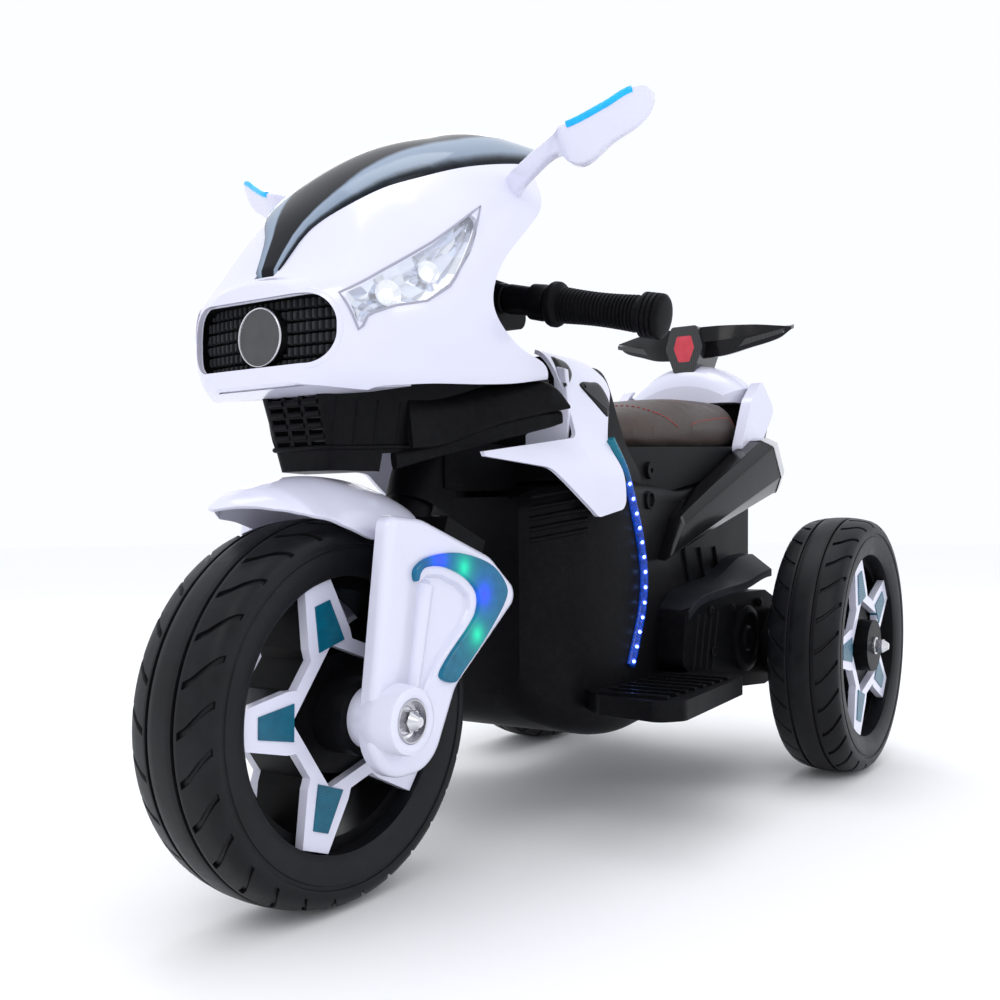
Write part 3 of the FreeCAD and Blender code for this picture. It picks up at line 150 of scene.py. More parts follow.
class Shade:
    """The node tree of one material."""

    def __init__(self, name: str) -> None:
        """Starts a material with an empty tree.

        Args:
            name: the material's name.
        """
        self.material = bpy.data.materials.new(name)
        self.material.use_nodes = True
        self.tree = self.material.node_tree
        self.tree.nodes.clear()
        self.place: Union[Wire, None] = None

    def node(self, kind: str, settings: Mapping[str, object] = {}, sockets: Mapping = {},
             out: object = 0) -> Wire:
        """Adds one node.

        Args:
            kind: the node's type.
            settings: its properties, with "stops" for a ramp's stops.
            sockets: values or wires by socket name or number.
            out: the output to return.

        Returns:
            The chosen output.
        """
        made = self.tree.nodes.new(kind)
        for key, value in settings.items():
            if key == "stops":
                self.set_stops(made.color_ramp, value)
            else:
                setattr(made, key, value)
        for key, value in sockets.items():
            if isinstance(value, Wire):
                self.tree.links.new(value.socket, made.inputs[key])
            else:
                made.inputs[key].default_value = value
        return Wire(self, made.outputs[out])

    @staticmethod
    def set_stops(ramp: bpy.types.ColorRamp, stops: Sequence[tuple[float, Colour]]) -> None:
        """Writes a ramp's stops.

        Args:
            ramp: the ramp.
            stops: place and colour of each stop.
        """
        while len(ramp.elements) < len(stops):
            ramp.elements.new(1.0)
        for element, (place, colour) in zip(ramp.elements, stops):
            element.position = place
            element.color = (*colour, 1.0)

    def coords(self) -> Wire:
        """Object coordinates in metres, shared by the tree."""
        if self.place is None:
            self.place = self.node("ShaderNodeTexCoord", out="Object")
        return self.place

    def axis(self, letter: str) -> Wire:
        """One coordinate of the object, in millimetres."""
        part = self.node("ShaderNodeSeparateXYZ", {}, {0: self.coords()}, out=letter)
        return part * (1.0 / MM)

    def noise(self, scale: float, detail: float = 2.0, rough: float = 0.5) -> Wire:
        """Noise over the object.

        Args:
            scale: cells per metre.
            detail: octaves.
            rough: strength of the finer octaves.

        Returns:
            The noise value.
        """
        return self.node("ShaderNodeTexNoise", {},
                         {"Vector": self.coords(), "Scale": scale, "Detail": detail,
                          "Roughness": rough})

    def cells(self, scale: float, feature: str = "F1") -> Wire:
        """Voronoi distance over the object."""
        return self.node("ShaderNodeTexVoronoi", {"feature": feature},
                         {"Vector": self.coords(), "Scale": scale}, out="Distance")

    def ramp(self, value: Wire, stops: Sequence[tuple[float, Colour]]) -> Wire:
        """Colour ramp over a value."""
        return self.node("ShaderNodeValToRGB", {"stops": stops}, {0: value})

    def blend(self, share: Wire, low: Union[Colour, Wire], high: Union[Colour, Wire]) -> Wire:
        """Colour between two others.

        Args:
            share: 0 for the first, 1 for the second.
            low: the first colour.
            high: the second colour.

        Returns:
            The mixed colour.
        """
        def ready(colour: Union[Colour, Wire]) -> object:
            return colour if isinstance(colour, Wire) else (*colour, 1.0)

        return self.node("ShaderNodeMix", {"data_type": "RGBA"}, {0: share, 6: ready(low), 7: ready(high)},
                         out=2)

    def bump(self, height: Wire, depth_mm: float, strength: float = 1.0) -> Wire:
        """Normal from a height.

        Args:
            height: the height, 0 to 1.
            depth_mm: what a height of 1 measures.
            strength: share of the effect.

        Returns:
            The bent normal.
        """
        return self.node("ShaderNodeBump", {},
                         {"Height": height, "Distance": depth_mm * MM, "Strength": strength})

    def surface(self, **sockets: object) -> Material:
        """Closes the tree with one principled surface.

        Args:
            sockets: values or wires by socket name, with _ for a space.

        Returns:
            The finished material.
        """
        named = {key.replace("_", " "): value for key, value in sockets.items()}
        renamed = {"Specular Level": "Specular IOR Level"}
        named = {renamed.get(key, key): value for key, value in named.items()}
        body = self.node("ShaderNodeBsdfPrincipled", {}, named)
        self.node_out(body)
        return self.material

    def node_out(self, body: Wire) -> None:
        """Links a shader to the material's output."""
        end = self.tree.nodes.new("ShaderNodeOutputMaterial")
        self.tree.links.new(body.socket, end.inputs["Surface"])


class Finish:
    """A finish that makes its material once."""

    made: dict[str, Material] = {}

    def shade(self, s: Shade) -> Material:
        """Builds the material; each finish has its own."""
        raise NotImplementedError

    def material(self) -> Material:
        """The finish's material, made at the first call."""
        key = repr(self)
        if key not in Finish.made:
            Finish.made[key] = self.shade(Shade(self.label))
        return Finish.made[key]

    def paint(self, piece: Piece) -> None:
        """Gives a piece this finish alone."""
        piece.data.materials.clear()
        piece.data.materials.append(self.material())


@dataclass(frozen=True)
class GlossPlastic(Finish):
    """Moulded plastic with a polished skin."""

    label: str
    colour: Colour
    shadow: Colour
    roughness: float = 0.2
    coat: float = 0.35
    specular: float = 0.5
    peel_mm: float = 0.02

    def shade(self, s: Shade) -> Material:
        """Cloudy colour, faint flow marks and orange peel."""
        cloud = s.noise(9.0, 3.0)
        fine = s.noise(420.0, 2.0)
        smear = s.noise(38.0, 4.0, 0.6)
        return s.surface(Base_Color=s.blend(cloud, self.colour, self.shadow),
                         Roughness=self.roughness + (smear - 0.5) * 0.14 + (fine - 0.5) * 0.05,
                         Specular_Level=self.specular, Coat_Weight=self.coat, Coat_Roughness=0.06,
                         Normal=s.bump(fine, self.peel_mm))


@dataclass(frozen=True)
class SatinPlastic(Finish):
    """Moulded plastic with a fine spark grain and dusty patches."""

    label: str
    colour: Colour
    dust: Colour
    roughness: float = 0.42
    grain_per_m: float = 1500.0
    grain_mm: float = 0.06

    def shade(self, s: Shade) -> Material:
        """Grain in the normal, dust in the colour and the gloss."""
        grain = s.noise(self.grain_per_m, 2.0)
        haze = s.noise(14.0, 5.0, 0.65)
        scuff = s.noise(160.0, 3.0, 0.7)
        worn = (haze * scuff * 2.2 - 0.35) * 1.2
        return s.surface(Base_Color=s.blend(worn, self.colour, self.dust),
                         Roughness=self.roughness + (haze - 0.5) * 0.22 + (grain - 0.5) * 0.1,
                         Specular_Level=0.07, Normal=s.bump(grain, self.grain_mm))


@dataclass(frozen=True)
class TyreRubber(Finish):
    """Hard moulded tyre, a little dusty on the tread."""

    label: str
    colour: Colour
    dust: Colour

    def shade(self, s: Shade) -> Material:
        """Fine pitted skin with pale scuffs."""
        pits = s.noise(900.0, 3.0)
        scuff = s.noise(70.0, 5.0, 0.7)
        cloud = s.noise(12.0, 3.0)
        worn = (scuff * cloud * 2.4 - 0.4) * 0.9
        return s.surface(Base_Color=s.blend(worn, self.colour, self.dust),
                         Roughness=0.44 + (scuff - 0.5) * 0.3, Specular_Level=0.2,
                         Normal=s.bump(pits, 0.08))


@dataclass(frozen=True)
class SmokedScreen(Finish):
    """Deep dark polished screen with a painted sky reflection: a paler band where it leans to the side."""

    label: str
    colour: Colour
    edge: Colour
    painted_reflection: Colour

    def shade(self, s: Shade) -> Material:
        """Nearly black body under a hard coat with faint wiping marks and a painted reflection band on its
        sides.
        """
        wipe = s.noise(45.0, 4.0, 0.6)
        cloud = s.noise(8.0, 2.0)
        across = s.node("ShaderNodeAttribute", {"attribute_name": "across"}, out="Fac")
        soft = across + (wipe - 0.5) * 0.05
        # Painted reflection: a pale blue band over the screen's sides, fading out towards the middle and at
        # the rim, stands in for the sky mirrored there.
        shown = s.ramp(soft, ((0.0, (0.0,) * 3), (0.50, (0.0,) * 3), (0.58, (1.0,) * 3), (0.87, (0.8,) * 3),
                              (0.955, (0.08,) * 3), (1.0, (0.0,) * 3)))
        dark = s.blend(cloud, self.colour, self.edge)
        return s.surface(Base_Color=s.blend(shown, dark, self.painted_reflection),
                         Roughness=0.1 + (wipe - 0.4) * 0.06, Coat_Weight=0.04, Coat_Roughness=0.03,
                         Specular_Level=0.07, Normal=s.bump(wipe, 0.03))


@dataclass(frozen=True)
class ClearLens(Finish):
    """Clear moulded lens with faint flutes."""

    label: str
    tint: Colour
    roughness: float = 0.03

    def shade(self, s: Shade) -> Material:
        """Nearly clear, with a slightly uneven skin."""
        wave = s.noise(60.0, 2.0)
        cloud = s.noise(25.0, 2.0)
        return s.surface(Base_Color=s.blend(cloud, self.tint, (1.0, 1.0, 1.0)),
                         Roughness=self.roughness + wave * 0.04, Alpha=0.1 + cloud * 0.1,
                         Coat_Weight=0.5, Coat_Roughness=0.03, Normal=s.bump(wave, 0.15))


@dataclass(frozen=True)
class Metal(Finish):
    """Bright or brushed metal."""

    label: str
    colour: Colour
    shadow: Colour
    roughness: float
    scratch_mm: float = 0.02

    def shade(self, s: Shade) -> Material:
        """Fine scratches and clouded gloss."""
        fine = s.noise(1300.0, 2.0)
        cloud = s.noise(60.0, 4.0, 0.6)
        return s.surface(Base_Color=s.blend(cloud, self.colour, self.shadow), Metallic=1.0,
                         Roughness=self.roughness + (cloud - 0.5) * 0.16 + (fine - 0.5) * 0.08,
                         Normal=s.bump(fine, self.scratch_mm))


@dataclass(frozen=True)
class TealLens(Finish):
    """Translucent coloured lens with prism ribs and parts showing through."""

    label: str
    colour: Colour
    deep: Colour
    glow: float = 0.25
    rib_mm: float = 2.2

    def shade(self, s: Shade) -> Material:
        """Ribs across, darker clouds below the skin and a little light of its own."""
        ribs = (s.axis("Z") * (2 * math.pi / self.rib_mm)).sine() * 0.5 + 0.5
        cloud = s.noise(85.0, 3.0)
        body = s.blend(cloud, self.colour, self.deep)
        return s.surface(Base_Color=body, Roughness=0.16 + ribs * 0.08, Coat_Weight=0.12,
                         Coat_Roughness=0.05, Specular_Level=0.25, Emission_Color=body,
                         Emission_Strength=self.glow, Normal=s.bump(ribs, 0.1))


@dataclass(frozen=True)
class HookGlow(Finish):
    """Lit lens with bright spots of blue and green along it."""

    label: str
    teal: Colour
    blue: Colour
    green: Colour
    strength: float
    blue_at: tuple = ((-279, 267), (-220, 237))
    green_at: tuple = ((-247, 260), (-230, 205))
    spot_mm: float = 9.0

    def shade(self, s: Shade) -> Material:
        """Dark lens with lit spots, clouded as by parts behind it."""
        cloud = s.noise(120.0, 3.0)
        lit = s.blend(cloud, self.teal, tuple(c * 0.45 for c in self.teal))
        for colour, spots in ((self.green, self.green_at), (self.blue, self.blue_at)):
            for y, z in spots:
                aside, above = s.axis("Y") - y, s.axis("Z") - z
                far = (aside * aside + above * above) * (1.0 / self.spot_mm ** 2) + 1.0
                lit = s.blend(far.maths("POWER", far, -1.6), lit, colour)
        return s.surface(Base_Color=lit, Roughness=0.12 + cloud * 0.1, Coat_Weight=0.12, Coat_Roughness=0.04,
                         Specular_Level=0.25,
                         Emission_Color=lit, Emission_Strength=self.strength, Normal=s.bump(cloud, 0.25))


@dataclass(frozen=True)
class StripGlow(Finish):
    """Lit strip that turns from teal at its head to blue lower down."""

    label: str
    head: Colour
    foot: Colour
    deep: Colour
    strength: float
    head_z: float = 362.0
    foot_z: float = 322.0

    def shade(self, s: Shade) -> Material:
        """Beaded lens, its colour changing with the height."""
        climb = (s.axis("Z") - self.foot_z) * (1.0 / (self.head_z - self.foot_z))
        beads = s.cells(300.0)
        body = s.blend(climb, s.blend(beads, self.foot, self.deep), self.head)
        return s.surface(Base_Color=body, Roughness=0.14 + beads * 0.1, Coat_Weight=0.15,
                         Coat_Roughness=0.05, Specular_Level=0.25, Emission_Color=body,
                         Emission_Strength=self.strength, Normal=s.bump(beads, 0.3))


@dataclass(frozen=True)
class Glow(Finish):
    """A lamp under a clear skin."""

    label: str
    colour: Colour
    strength: float

    def shade(self, s: Shade) -> Material:
        """Light that flickers a little over the surface."""
        cloud = s.noise(300.0, 2.0)
        lit = s.blend(cloud, self.colour, tuple(min(1.0, c * 1.5 + 0.1) for c in self.colour))
        return s.surface(Base_Color=lit, Roughness=0.2 + cloud * 0.1, Emission_Color=lit,
                         Emission_Strength=self.strength)


@dataclass(frozen=True)
class Leather(Finish):
    """Grained leather."""

    label: str
    colour: Colour
    worn: Colour

    def shade(self, s: Shade) -> Material:
        """Pebbled grain, soft creases and a lighter rubbed crown."""
        pebble = s.cells(620.0)
        crease = s.noise(95.0, 5.0, 0.65)
        cloud = s.noise(17.0, 3.0)
        rubbed = cloud * 0.7 + crease * 0.5 - 0.25
        height = pebble * 0.7 + crease * 0.5
        return s.surface(Base_Color=s.blend(rubbed, self.colour, self.worn),
                         Roughness=0.5 + (crease - 0.5) * 0.25 - pebble * 0.08, Specular_Level=0.35,
                         Sheen_Weight=0.08, Normal=s.bump(height, 0.35, 0.7))


@dataclass(frozen=True)
class Thread(Finish):
    """Twisted sewing thread."""

    label: str
    colour: Colour
    deep: Colour

    def shade(self, s: Shade) -> Material:
        """Slanted strands."""
        twist = ((s.axis("X") + s.axis("Y") + s.axis("Z")) * 5.0).sine() * 0.5 + 0.5
        return s.surface(Base_Color=s.blend(twist, self.colour, self.deep), Roughness=0.6 + twist * 0.15,
                         Sheen_Weight=0.2, Normal=s.bump(twist, 0.12))


@dataclass(frozen=True)
class CarbonSkin(Finish):
    """Black moulding with a fine woven print."""

    label: str
    colour: Colour
    bright: Colour
    cell_mm: float = 5.0

    def shade(self, s: Shade) -> Material:
        """Two crossed waves pick the strands that catch the light."""
        turn = 2 * math.pi / self.cell_mm
        weave = (s.axis("X") * turn).sine() * (s.axis("Y") * turn).sine()
        picked = weave.above(0.0)
        cloud = s.noise(30.0, 3.0)
        return s.surface(Base_Color=s.blend(picked * (cloud * 0.6 + 0.5), self.colour, self.bright),
                         Roughness=0.28 + picked * 0.12, Coat_Weight=0.6, Coat_Roughness=0.08,
                         Normal=s.bump(weave, 0.12))


WHITE = GlossPlastic("white_skin", (0.74, 0.745, 0.87), (0.70, 0.70, 0.84))
GLOSS_BLACK = GlossPlastic("black_skin", (0.003, 0.003, 0.004), (0.006, 0.006, 0.007), 0.2, 0.12, 0.14)
SATIN_BLACK = SatinPlastic("black_moulding", (0.0032, 0.0032, 0.004), (0.009, 0.009, 0.011))
DEEP_BLACK = SatinPlastic("black_inner", (0.002, 0.002, 0.0025), (0.005, 0.005, 0.006), 0.55)
RIM_BLACK = SatinPlastic("black_rim", (0.003, 0.003, 0.0035), (0.008, 0.008, 0.009), 0.36)
GRIP_RUBBER = SatinPlastic("grip_rubber", (0.003, 0.003, 0.0035), (0.008, 0.008, 0.009), 0.5, 1100.0, 0.09)
TYRE = TyreRubber("tyre_rubber", (0.004, 0.004, 0.005), (0.014, 0.015, 0.018))
# The screen's last colour is its painted sky reflection, not a tint of the screen.
SCREEN = SmokedScreen("smoked_screen", (0.004, 0.005, 0.007), (0.008, 0.010, 0.014), (0.28, 0.35, 0.45))
GRILLE_GREY = SatinPlastic("grille_grey", (0.030, 0.031, 0.034), (0.050, 0.050, 0.056), 0.4)
HOOD_GREY = SatinPlastic("hood_grey", (0.012, 0.013, 0.017), (0.022, 0.023, 0.029), 0.38)
LENS = ClearLens("clear_lens", (0.93, 0.95, 1.0))
CHROME = Metal("reflector_chrome", (0.90, 0.91, 0.95), (0.74, 0.77, 0.84), 0.12)
ICE = Metal("reflector_ice", (0.70, 0.78, 0.95), (0.86, 0.88, 0.95), 0.2)
LILAC = Metal("reflector_lilac", (0.60, 0.60, 0.82), (0.42, 0.44, 0.62), 0.2)
AMBER = Metal("reflector_amber", (0.95, 0.62, 0.40), (0.90, 0.72, 0.58), 0.22)
STEEL = Metal("plated_steel", (0.72, 0.72, 0.74), (0.55, 0.55, 0.58), 0.26, 0.03)
MIRROR = Metal("mirror_glass", (0.90, 0.91, 0.93), (0.86, 0.87, 0.90), 0.05, 0.004)
TEAL = TealLens("teal_lens", (0.0, 0.115, 0.19), (0.0, 0.05, 0.09), 0.2)
SIGNAL = TealLens("signal_lens", (0.01, 0.42, 0.80), (0.0, 0.25, 0.55), 0.45)
HOOK = HookGlow("hook_light", (0.0, 0.10, 0.18), (0.02, 0.06, 1.0), (0.0, 0.50, 0.28), 0.75)
STRIP_BLUE = StripGlow("strip_blue", (0.0, 0.10, 0.15), (0.0, 0.05, 0.48), (0.0, 0.015, 0.12), 0.5)
HALO_BLUE = Glow("halo_blue", (0.01, 0.03, 0.9), 1.2)
LAMP_BLUE = Glow("lamp_blue", (0.12, 0.3, 1.0), 9.0)
BULB = Glow("bulb_white", (0.9, 0.95, 1.0), 0.55)
BADGE = Metal("badge_grey", (0.12, 0.12, 0.125), (0.085, 0.085, 0.09), 0.36)
# The red insert's faint glow is painted light: the part is a reflector, not a lamp.
RED = TealLens("red_insert", (0.66, 0.07, 0.10), (0.44, 0.03, 0.05), 0.15, 3.0)
LEATHER = Leather("brown_leather", (0.026, 0.014, 0.010), (0.058, 0.035, 0.026))
STITCH = Thread("red_thread", (0.50, 0.02, 0.015), (0.26, 0.008, 0.006))
CARBON = CarbonSkin("carbon_print", (0.003, 0.003, 0.0035), (0.011, 0.0115, 0.0125), 3.0)
SWITCH_RED = GlossPlastic("switch_red", (0.42, 0.02, 0.02), (0.30, 0.012, 0.012))
CASE_GREY = SatinPlastic("battery_grey", (0.05, 0.05, 0.055), (0.09, 0.09, 0.10))
SEAM = SatinPlastic("seam_grey", (0.36, 0.36, 0.43), (0.44, 0.44, 0.52))


class Frame:
    """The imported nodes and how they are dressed."""

    def __init__(self, loaded: Mapping[str, object]) -> None:
        """Keeps the loaded frame.
        """
        self.nodes: dict[str, Piece] = loaded["nodes"]

    def dress(self, finish: Finish, *names: str, bevel_mm: float = 0.0) -> None:
        """Gives nodes a finish and softened edges.

        Args:
            finish: the finish.
            names: the nodes.
            bevel_mm: width of the softened edges, 0 for none.
        """
        for name in names:
            node = self.nodes[name]
            finish.paint(node)
            if bevel_mm > 0:
                rounder = node.modifiers.new("soft_edges", "BEVEL")
                rounder.width = bevel_mm * MM
                rounder.segments = 3
                rounder.limit_method = "ANGLE"
                rounder.angle_limit = math.radians(32)
                rounder.harden_normals = False
            LOG.info("dressed %s with %s", name, finish.label)

    def skin(self, *names: str) -> "Skin":
        """The faces of some nodes, for casting rays onto."""
        points: list[Vector] = []
        faces: list[tuple[int, ...]] = []
        for name in names:
            mesh = self.nodes[name].data
            first = len(points)
            points += [v.co.copy() for v in mesh.vertices]
            faces += [tuple(first + i for i in p.vertices) for p in mesh.polygons]
        return Skin(BVHTree.FromPolygons(points, faces))


@dataclass
class Skin:
    """Faces that rays are cast onto, in millimetres."""

    tree: BVHTree
    reach: float = 900.0

    def hit(self, at: Vector, towards: Vector) -> Union[tuple[Vector, Vector], None]:
        """First point met by a ray.

        Args:
            at: a point that the ray passes, its start lying far back.
            towards: the ray's direction.

        Returns:
            The point and its outward normal, or None.
        """
        start = (at - towards * self.reach) * MM
        found, normal, _, _ = self.tree.ray_cast(start, towards)
        if found is None:
            return None
        if normal.dot(towards) > 0:
            normal = -normal
        return found / MM, normal


@dataclass
class Studio:
    """Camera, lights, floor and sky."""

    azimuth_deg: float = 32.072
    elevation_deg: float = 2.839
    roll_deg: float = -0.383
    camera_at: Point = (0.599664, -0.945317, 0.294069)
    focal_px: float = 1084.504
    centre_px: Flat = (547.855, 578.206)
    image_px: float = 1000.0
    sensor_mm: float = 36.0
    floor_half_m: float = 14.0
    sky: Colour = (0.93, 0.95, 1.0)
    sky_strength: float = 1.05

    def camera(self) -> None:
        """Puts the camera where the photograph was taken."""
        a = math.radians(self.azimuth_deg)
        e = math.radians(self.elevation_deg)
        r = math.radians(self.roll_deg)
        back = Vector((math.sin(a) * math.cos(e), -math.cos(a) * math.cos(e), math.sin(e)))
        right = Vector((math.cos(a), math.sin(a), 0.0))
        up = back.cross(right)
        turned_right = right * math.cos(r) + up * math.sin(r)
        turned_up = up * math.cos(r) - right * math.sin(r)
        data = bpy.data.cameras.new("camera")
        data.sensor_width = self.sensor_mm
        data.lens = self.focal_px / self.image_px * self.sensor_mm
        data.shift_x = (self.image_px / 2 - self.centre_px[0]) / self.image_px
        data.shift_y = (self.centre_px[1] - self.image_px / 2) / self.image_px
        data.clip_start = 0.02
        data.clip_end = 60.0
        made = bpy.data.objects.new("camera", data)
        bpy.context.scene.collection.objects.link(made)
        turn = Matrix((turned_right, turned_up, back)).transposed()
        made.matrix_world = Matrix.Translation(Vector(self.camera_at)) @ turn.to_4x4()
        bpy.context.scene.camera = made

    def lamp(self, name: str, at: Point, aim: Point, size: float, watts: float, colour: Colour) -> None:
        """One soft square light.

        Args:
            name: its name.
            at: its place.
            aim: the point it faces.
            size: its side, in metres.
            watts: its power.
            colour: its colour.
        """
        data = bpy.data.lights.new(name, "AREA")
        data.size = size
        data.energy = watts
        data.color = colour
        made = bpy.data.objects.new(name, data)
        made.location = at
        made.rotation_euler = (Vector(aim) - Vector(at)).to_track_quat("-Z", "Y").to_euler()
        bpy.context.scene.collection.objects.link(made)

    def floor(self) -> None:
        """Pale floor under the wheels."""
        half = self.floor_half_m
        made = Mould.piece("floor", [(-half, -half, 0), (half, -half, 0), (half, half, 0), (-half, half, 0)],
                           [(0, 1, 2, 3)], scale=1.0)
        s = Shade("floor_paper")
        grain = s.noise(60.0, 4.0)
        s.surface(Base_Color=s.blend(grain, (0.985, 0.985, 0.985), (0.965, 0.965, 0.965)),
                  Roughness=0.75 + grain * 0.1)
        made.data.materials.append(s.material)

    def world(self) -> None:
        """Even pale sky."""
        world = bpy.data.worlds.new("sky")
        world.use_nodes = True
        back = world.node_tree.nodes["Background"]
        back.inputs["Color"].default_value = (*self.sky, 1.0)
        back.inputs["Strength"].default_value = self.sky_strength
        bpy.context.scene.world = world
        bpy.context.scene.view_settings.view_transform = "Standard"

    def build(self) -> None:
        """Sets up the whole studio."""
        self.camera()
        self.world()
        self.floor()
        middle = (0.0, 0.0, 0.3)
        self.lamp("key_light", (0.9, -2.4, 2.6), middle, 1.2, 14.0, (1.0, 0.99, 0.97))
        self.lamp("top_light", (-0.3, 0.2, 2.8), middle, 1.4, 14.0, (0.95, 0.97, 1.0))
        self.lamp("side_light", (2.8, 0.9, 1.6), middle, 0.8, 7.0, (0.92, 0.95, 1.0))
        self.lamp("back_light", (-2.2, 2.0, 1.8), middle, 1.4, 10.0, (1.0, 1.0, 1.0))


def between(stations: Sequence[tuple[float, Sequence[float]]], place: float) -> list[float]:
    """Values between stations by a curve that never swings past them.

    Args:
        stations: place and values of each station.
        place: where the values are wanted.

    Returns:
        The values there.
    """
    places = [station[0] for station in stations]
    last = len(places) - 1
    i = max([k for k in range(last) if places[k] <= place], default=0)
    gaps = [places[k + 1] - places[k] for k in range(last)]
    t = (place - places[i]) / gaps[i]
    mixed = []
    for values in zip(*[station[1] for station in stations]):
        rises = [(values[k + 1] - values[k]) / gaps[k] for k in range(last)]

        def slope(k: int) -> float:
            if k in (0, last):
                return rises[0] if k == 0 else rises[-1]
            if rises[k - 1] * rises[k] <= 0:
                return 0.0
            return 2 * rises[k - 1] * rises[k] / (rises[k - 1] + rises[k])

        mixed.append(values[i] * (1 + 2 * t) * (1 - t) ** 2 + slope(i) * gaps[i] * t * (1 - t) ** 2
                     + values[i + 1] * t * t * (3 - 2 * t) + slope(i + 1) * gaps[i] * t * t * (t - 1))
    return mixed


def rounded(points: Sequence[Flat], turns: Union[float, Sequence[float]], steps: int = 8) -> list[Flat]:
    """Closed outline with its corners turned.

    Args:
        points: the corners.
        turns: one radius, or one for each corner.
        steps: points on each turn.

    Returns:
        The points of the outline.
    """
    total = len(points)
    radii = [turns] * total if isinstance(turns, (int, float)) else turns
    line: list[Flat] = []
    for i in range(total):
        here = Vector(points[i])
        before = (Vector(points[i - 1]) - here).normalized()
        after = (Vector(points[(i + 1) % total]) - here).normalized()
        half = before.angle(after) / 2
        if radii[i] <= 0:
            line.append(tuple(here))
            continue
        start = here + before * (radii[i] / math.tan(half))
        end = here + after * (radii[i] / math.tan(half))
        centre = here + (before + after).normalized() * (radii[i] / math.sin(half))
        low, high = start - centre, end - centre
        for k in range(steps + 1):
            arm = low.lerp(high, k / steps).normalized() * radii[i]
            line.append(tuple(centre + arm))
    return line


def flowing(points: Sequence[Sequence[float]], steps: int, closed: bool = False) -> list[Vector]:
    """Smooth curve through points.

    Args:
        points: the points.
        steps: pieces between two of them.
        closed: whether the curve comes back to its start.

    Returns:
        The points of the curve.
    """
    total = len(points)
    spans = total if closed else total - 1
    knots = [Vector(p) for p in points]

    def knot(k: int) -> Vector:
        return knots[k % total] if closed else knots[min(max(k, 0), total - 1)]

    line = []
    for i in range(spans):
        a, b, c, d = knot(i - 1), knot(i), knot(i + 1), knot(i + 2)
        for k in range(steps):
            t = k / steps
            line.append(0.5 * (2 * b + (c - a) * t + (2 * a - 5 * b + 4 * c - d) * t * t
                               + (3 * b - a - 3 * c + d) * t ** 3))
    if not closed:
        line.append(knots[-1])
    return line


def shrunk(outline: Sequence[Flat], inset: float) -> list[Flat]:
    """Outline moved inwards along its own normals.

    Args:
        outline: closed outline.
        inset: how far, in millimetres.

    Returns:
        The moved outline.
    """
    total = len(outline)
    area = sum(outline[i - 1][0] * outline[i][1] - outline[i][0] * outline[i - 1][1] for i in range(total))
    way = 1.0 if area > 0 else -1.0
    moved = []
    for i in range(total):
        before = Vector(outline[i - 1])
        here = Vector(outline[i])
        after = Vector(outline[(i + 1) % total])
        along = (here - before).normalized() + (after - here).normalized()
        normal = Vector((-along.y, along.x)).normalized() * way
        moved.append(tuple(here + normal * inset))
    return moved


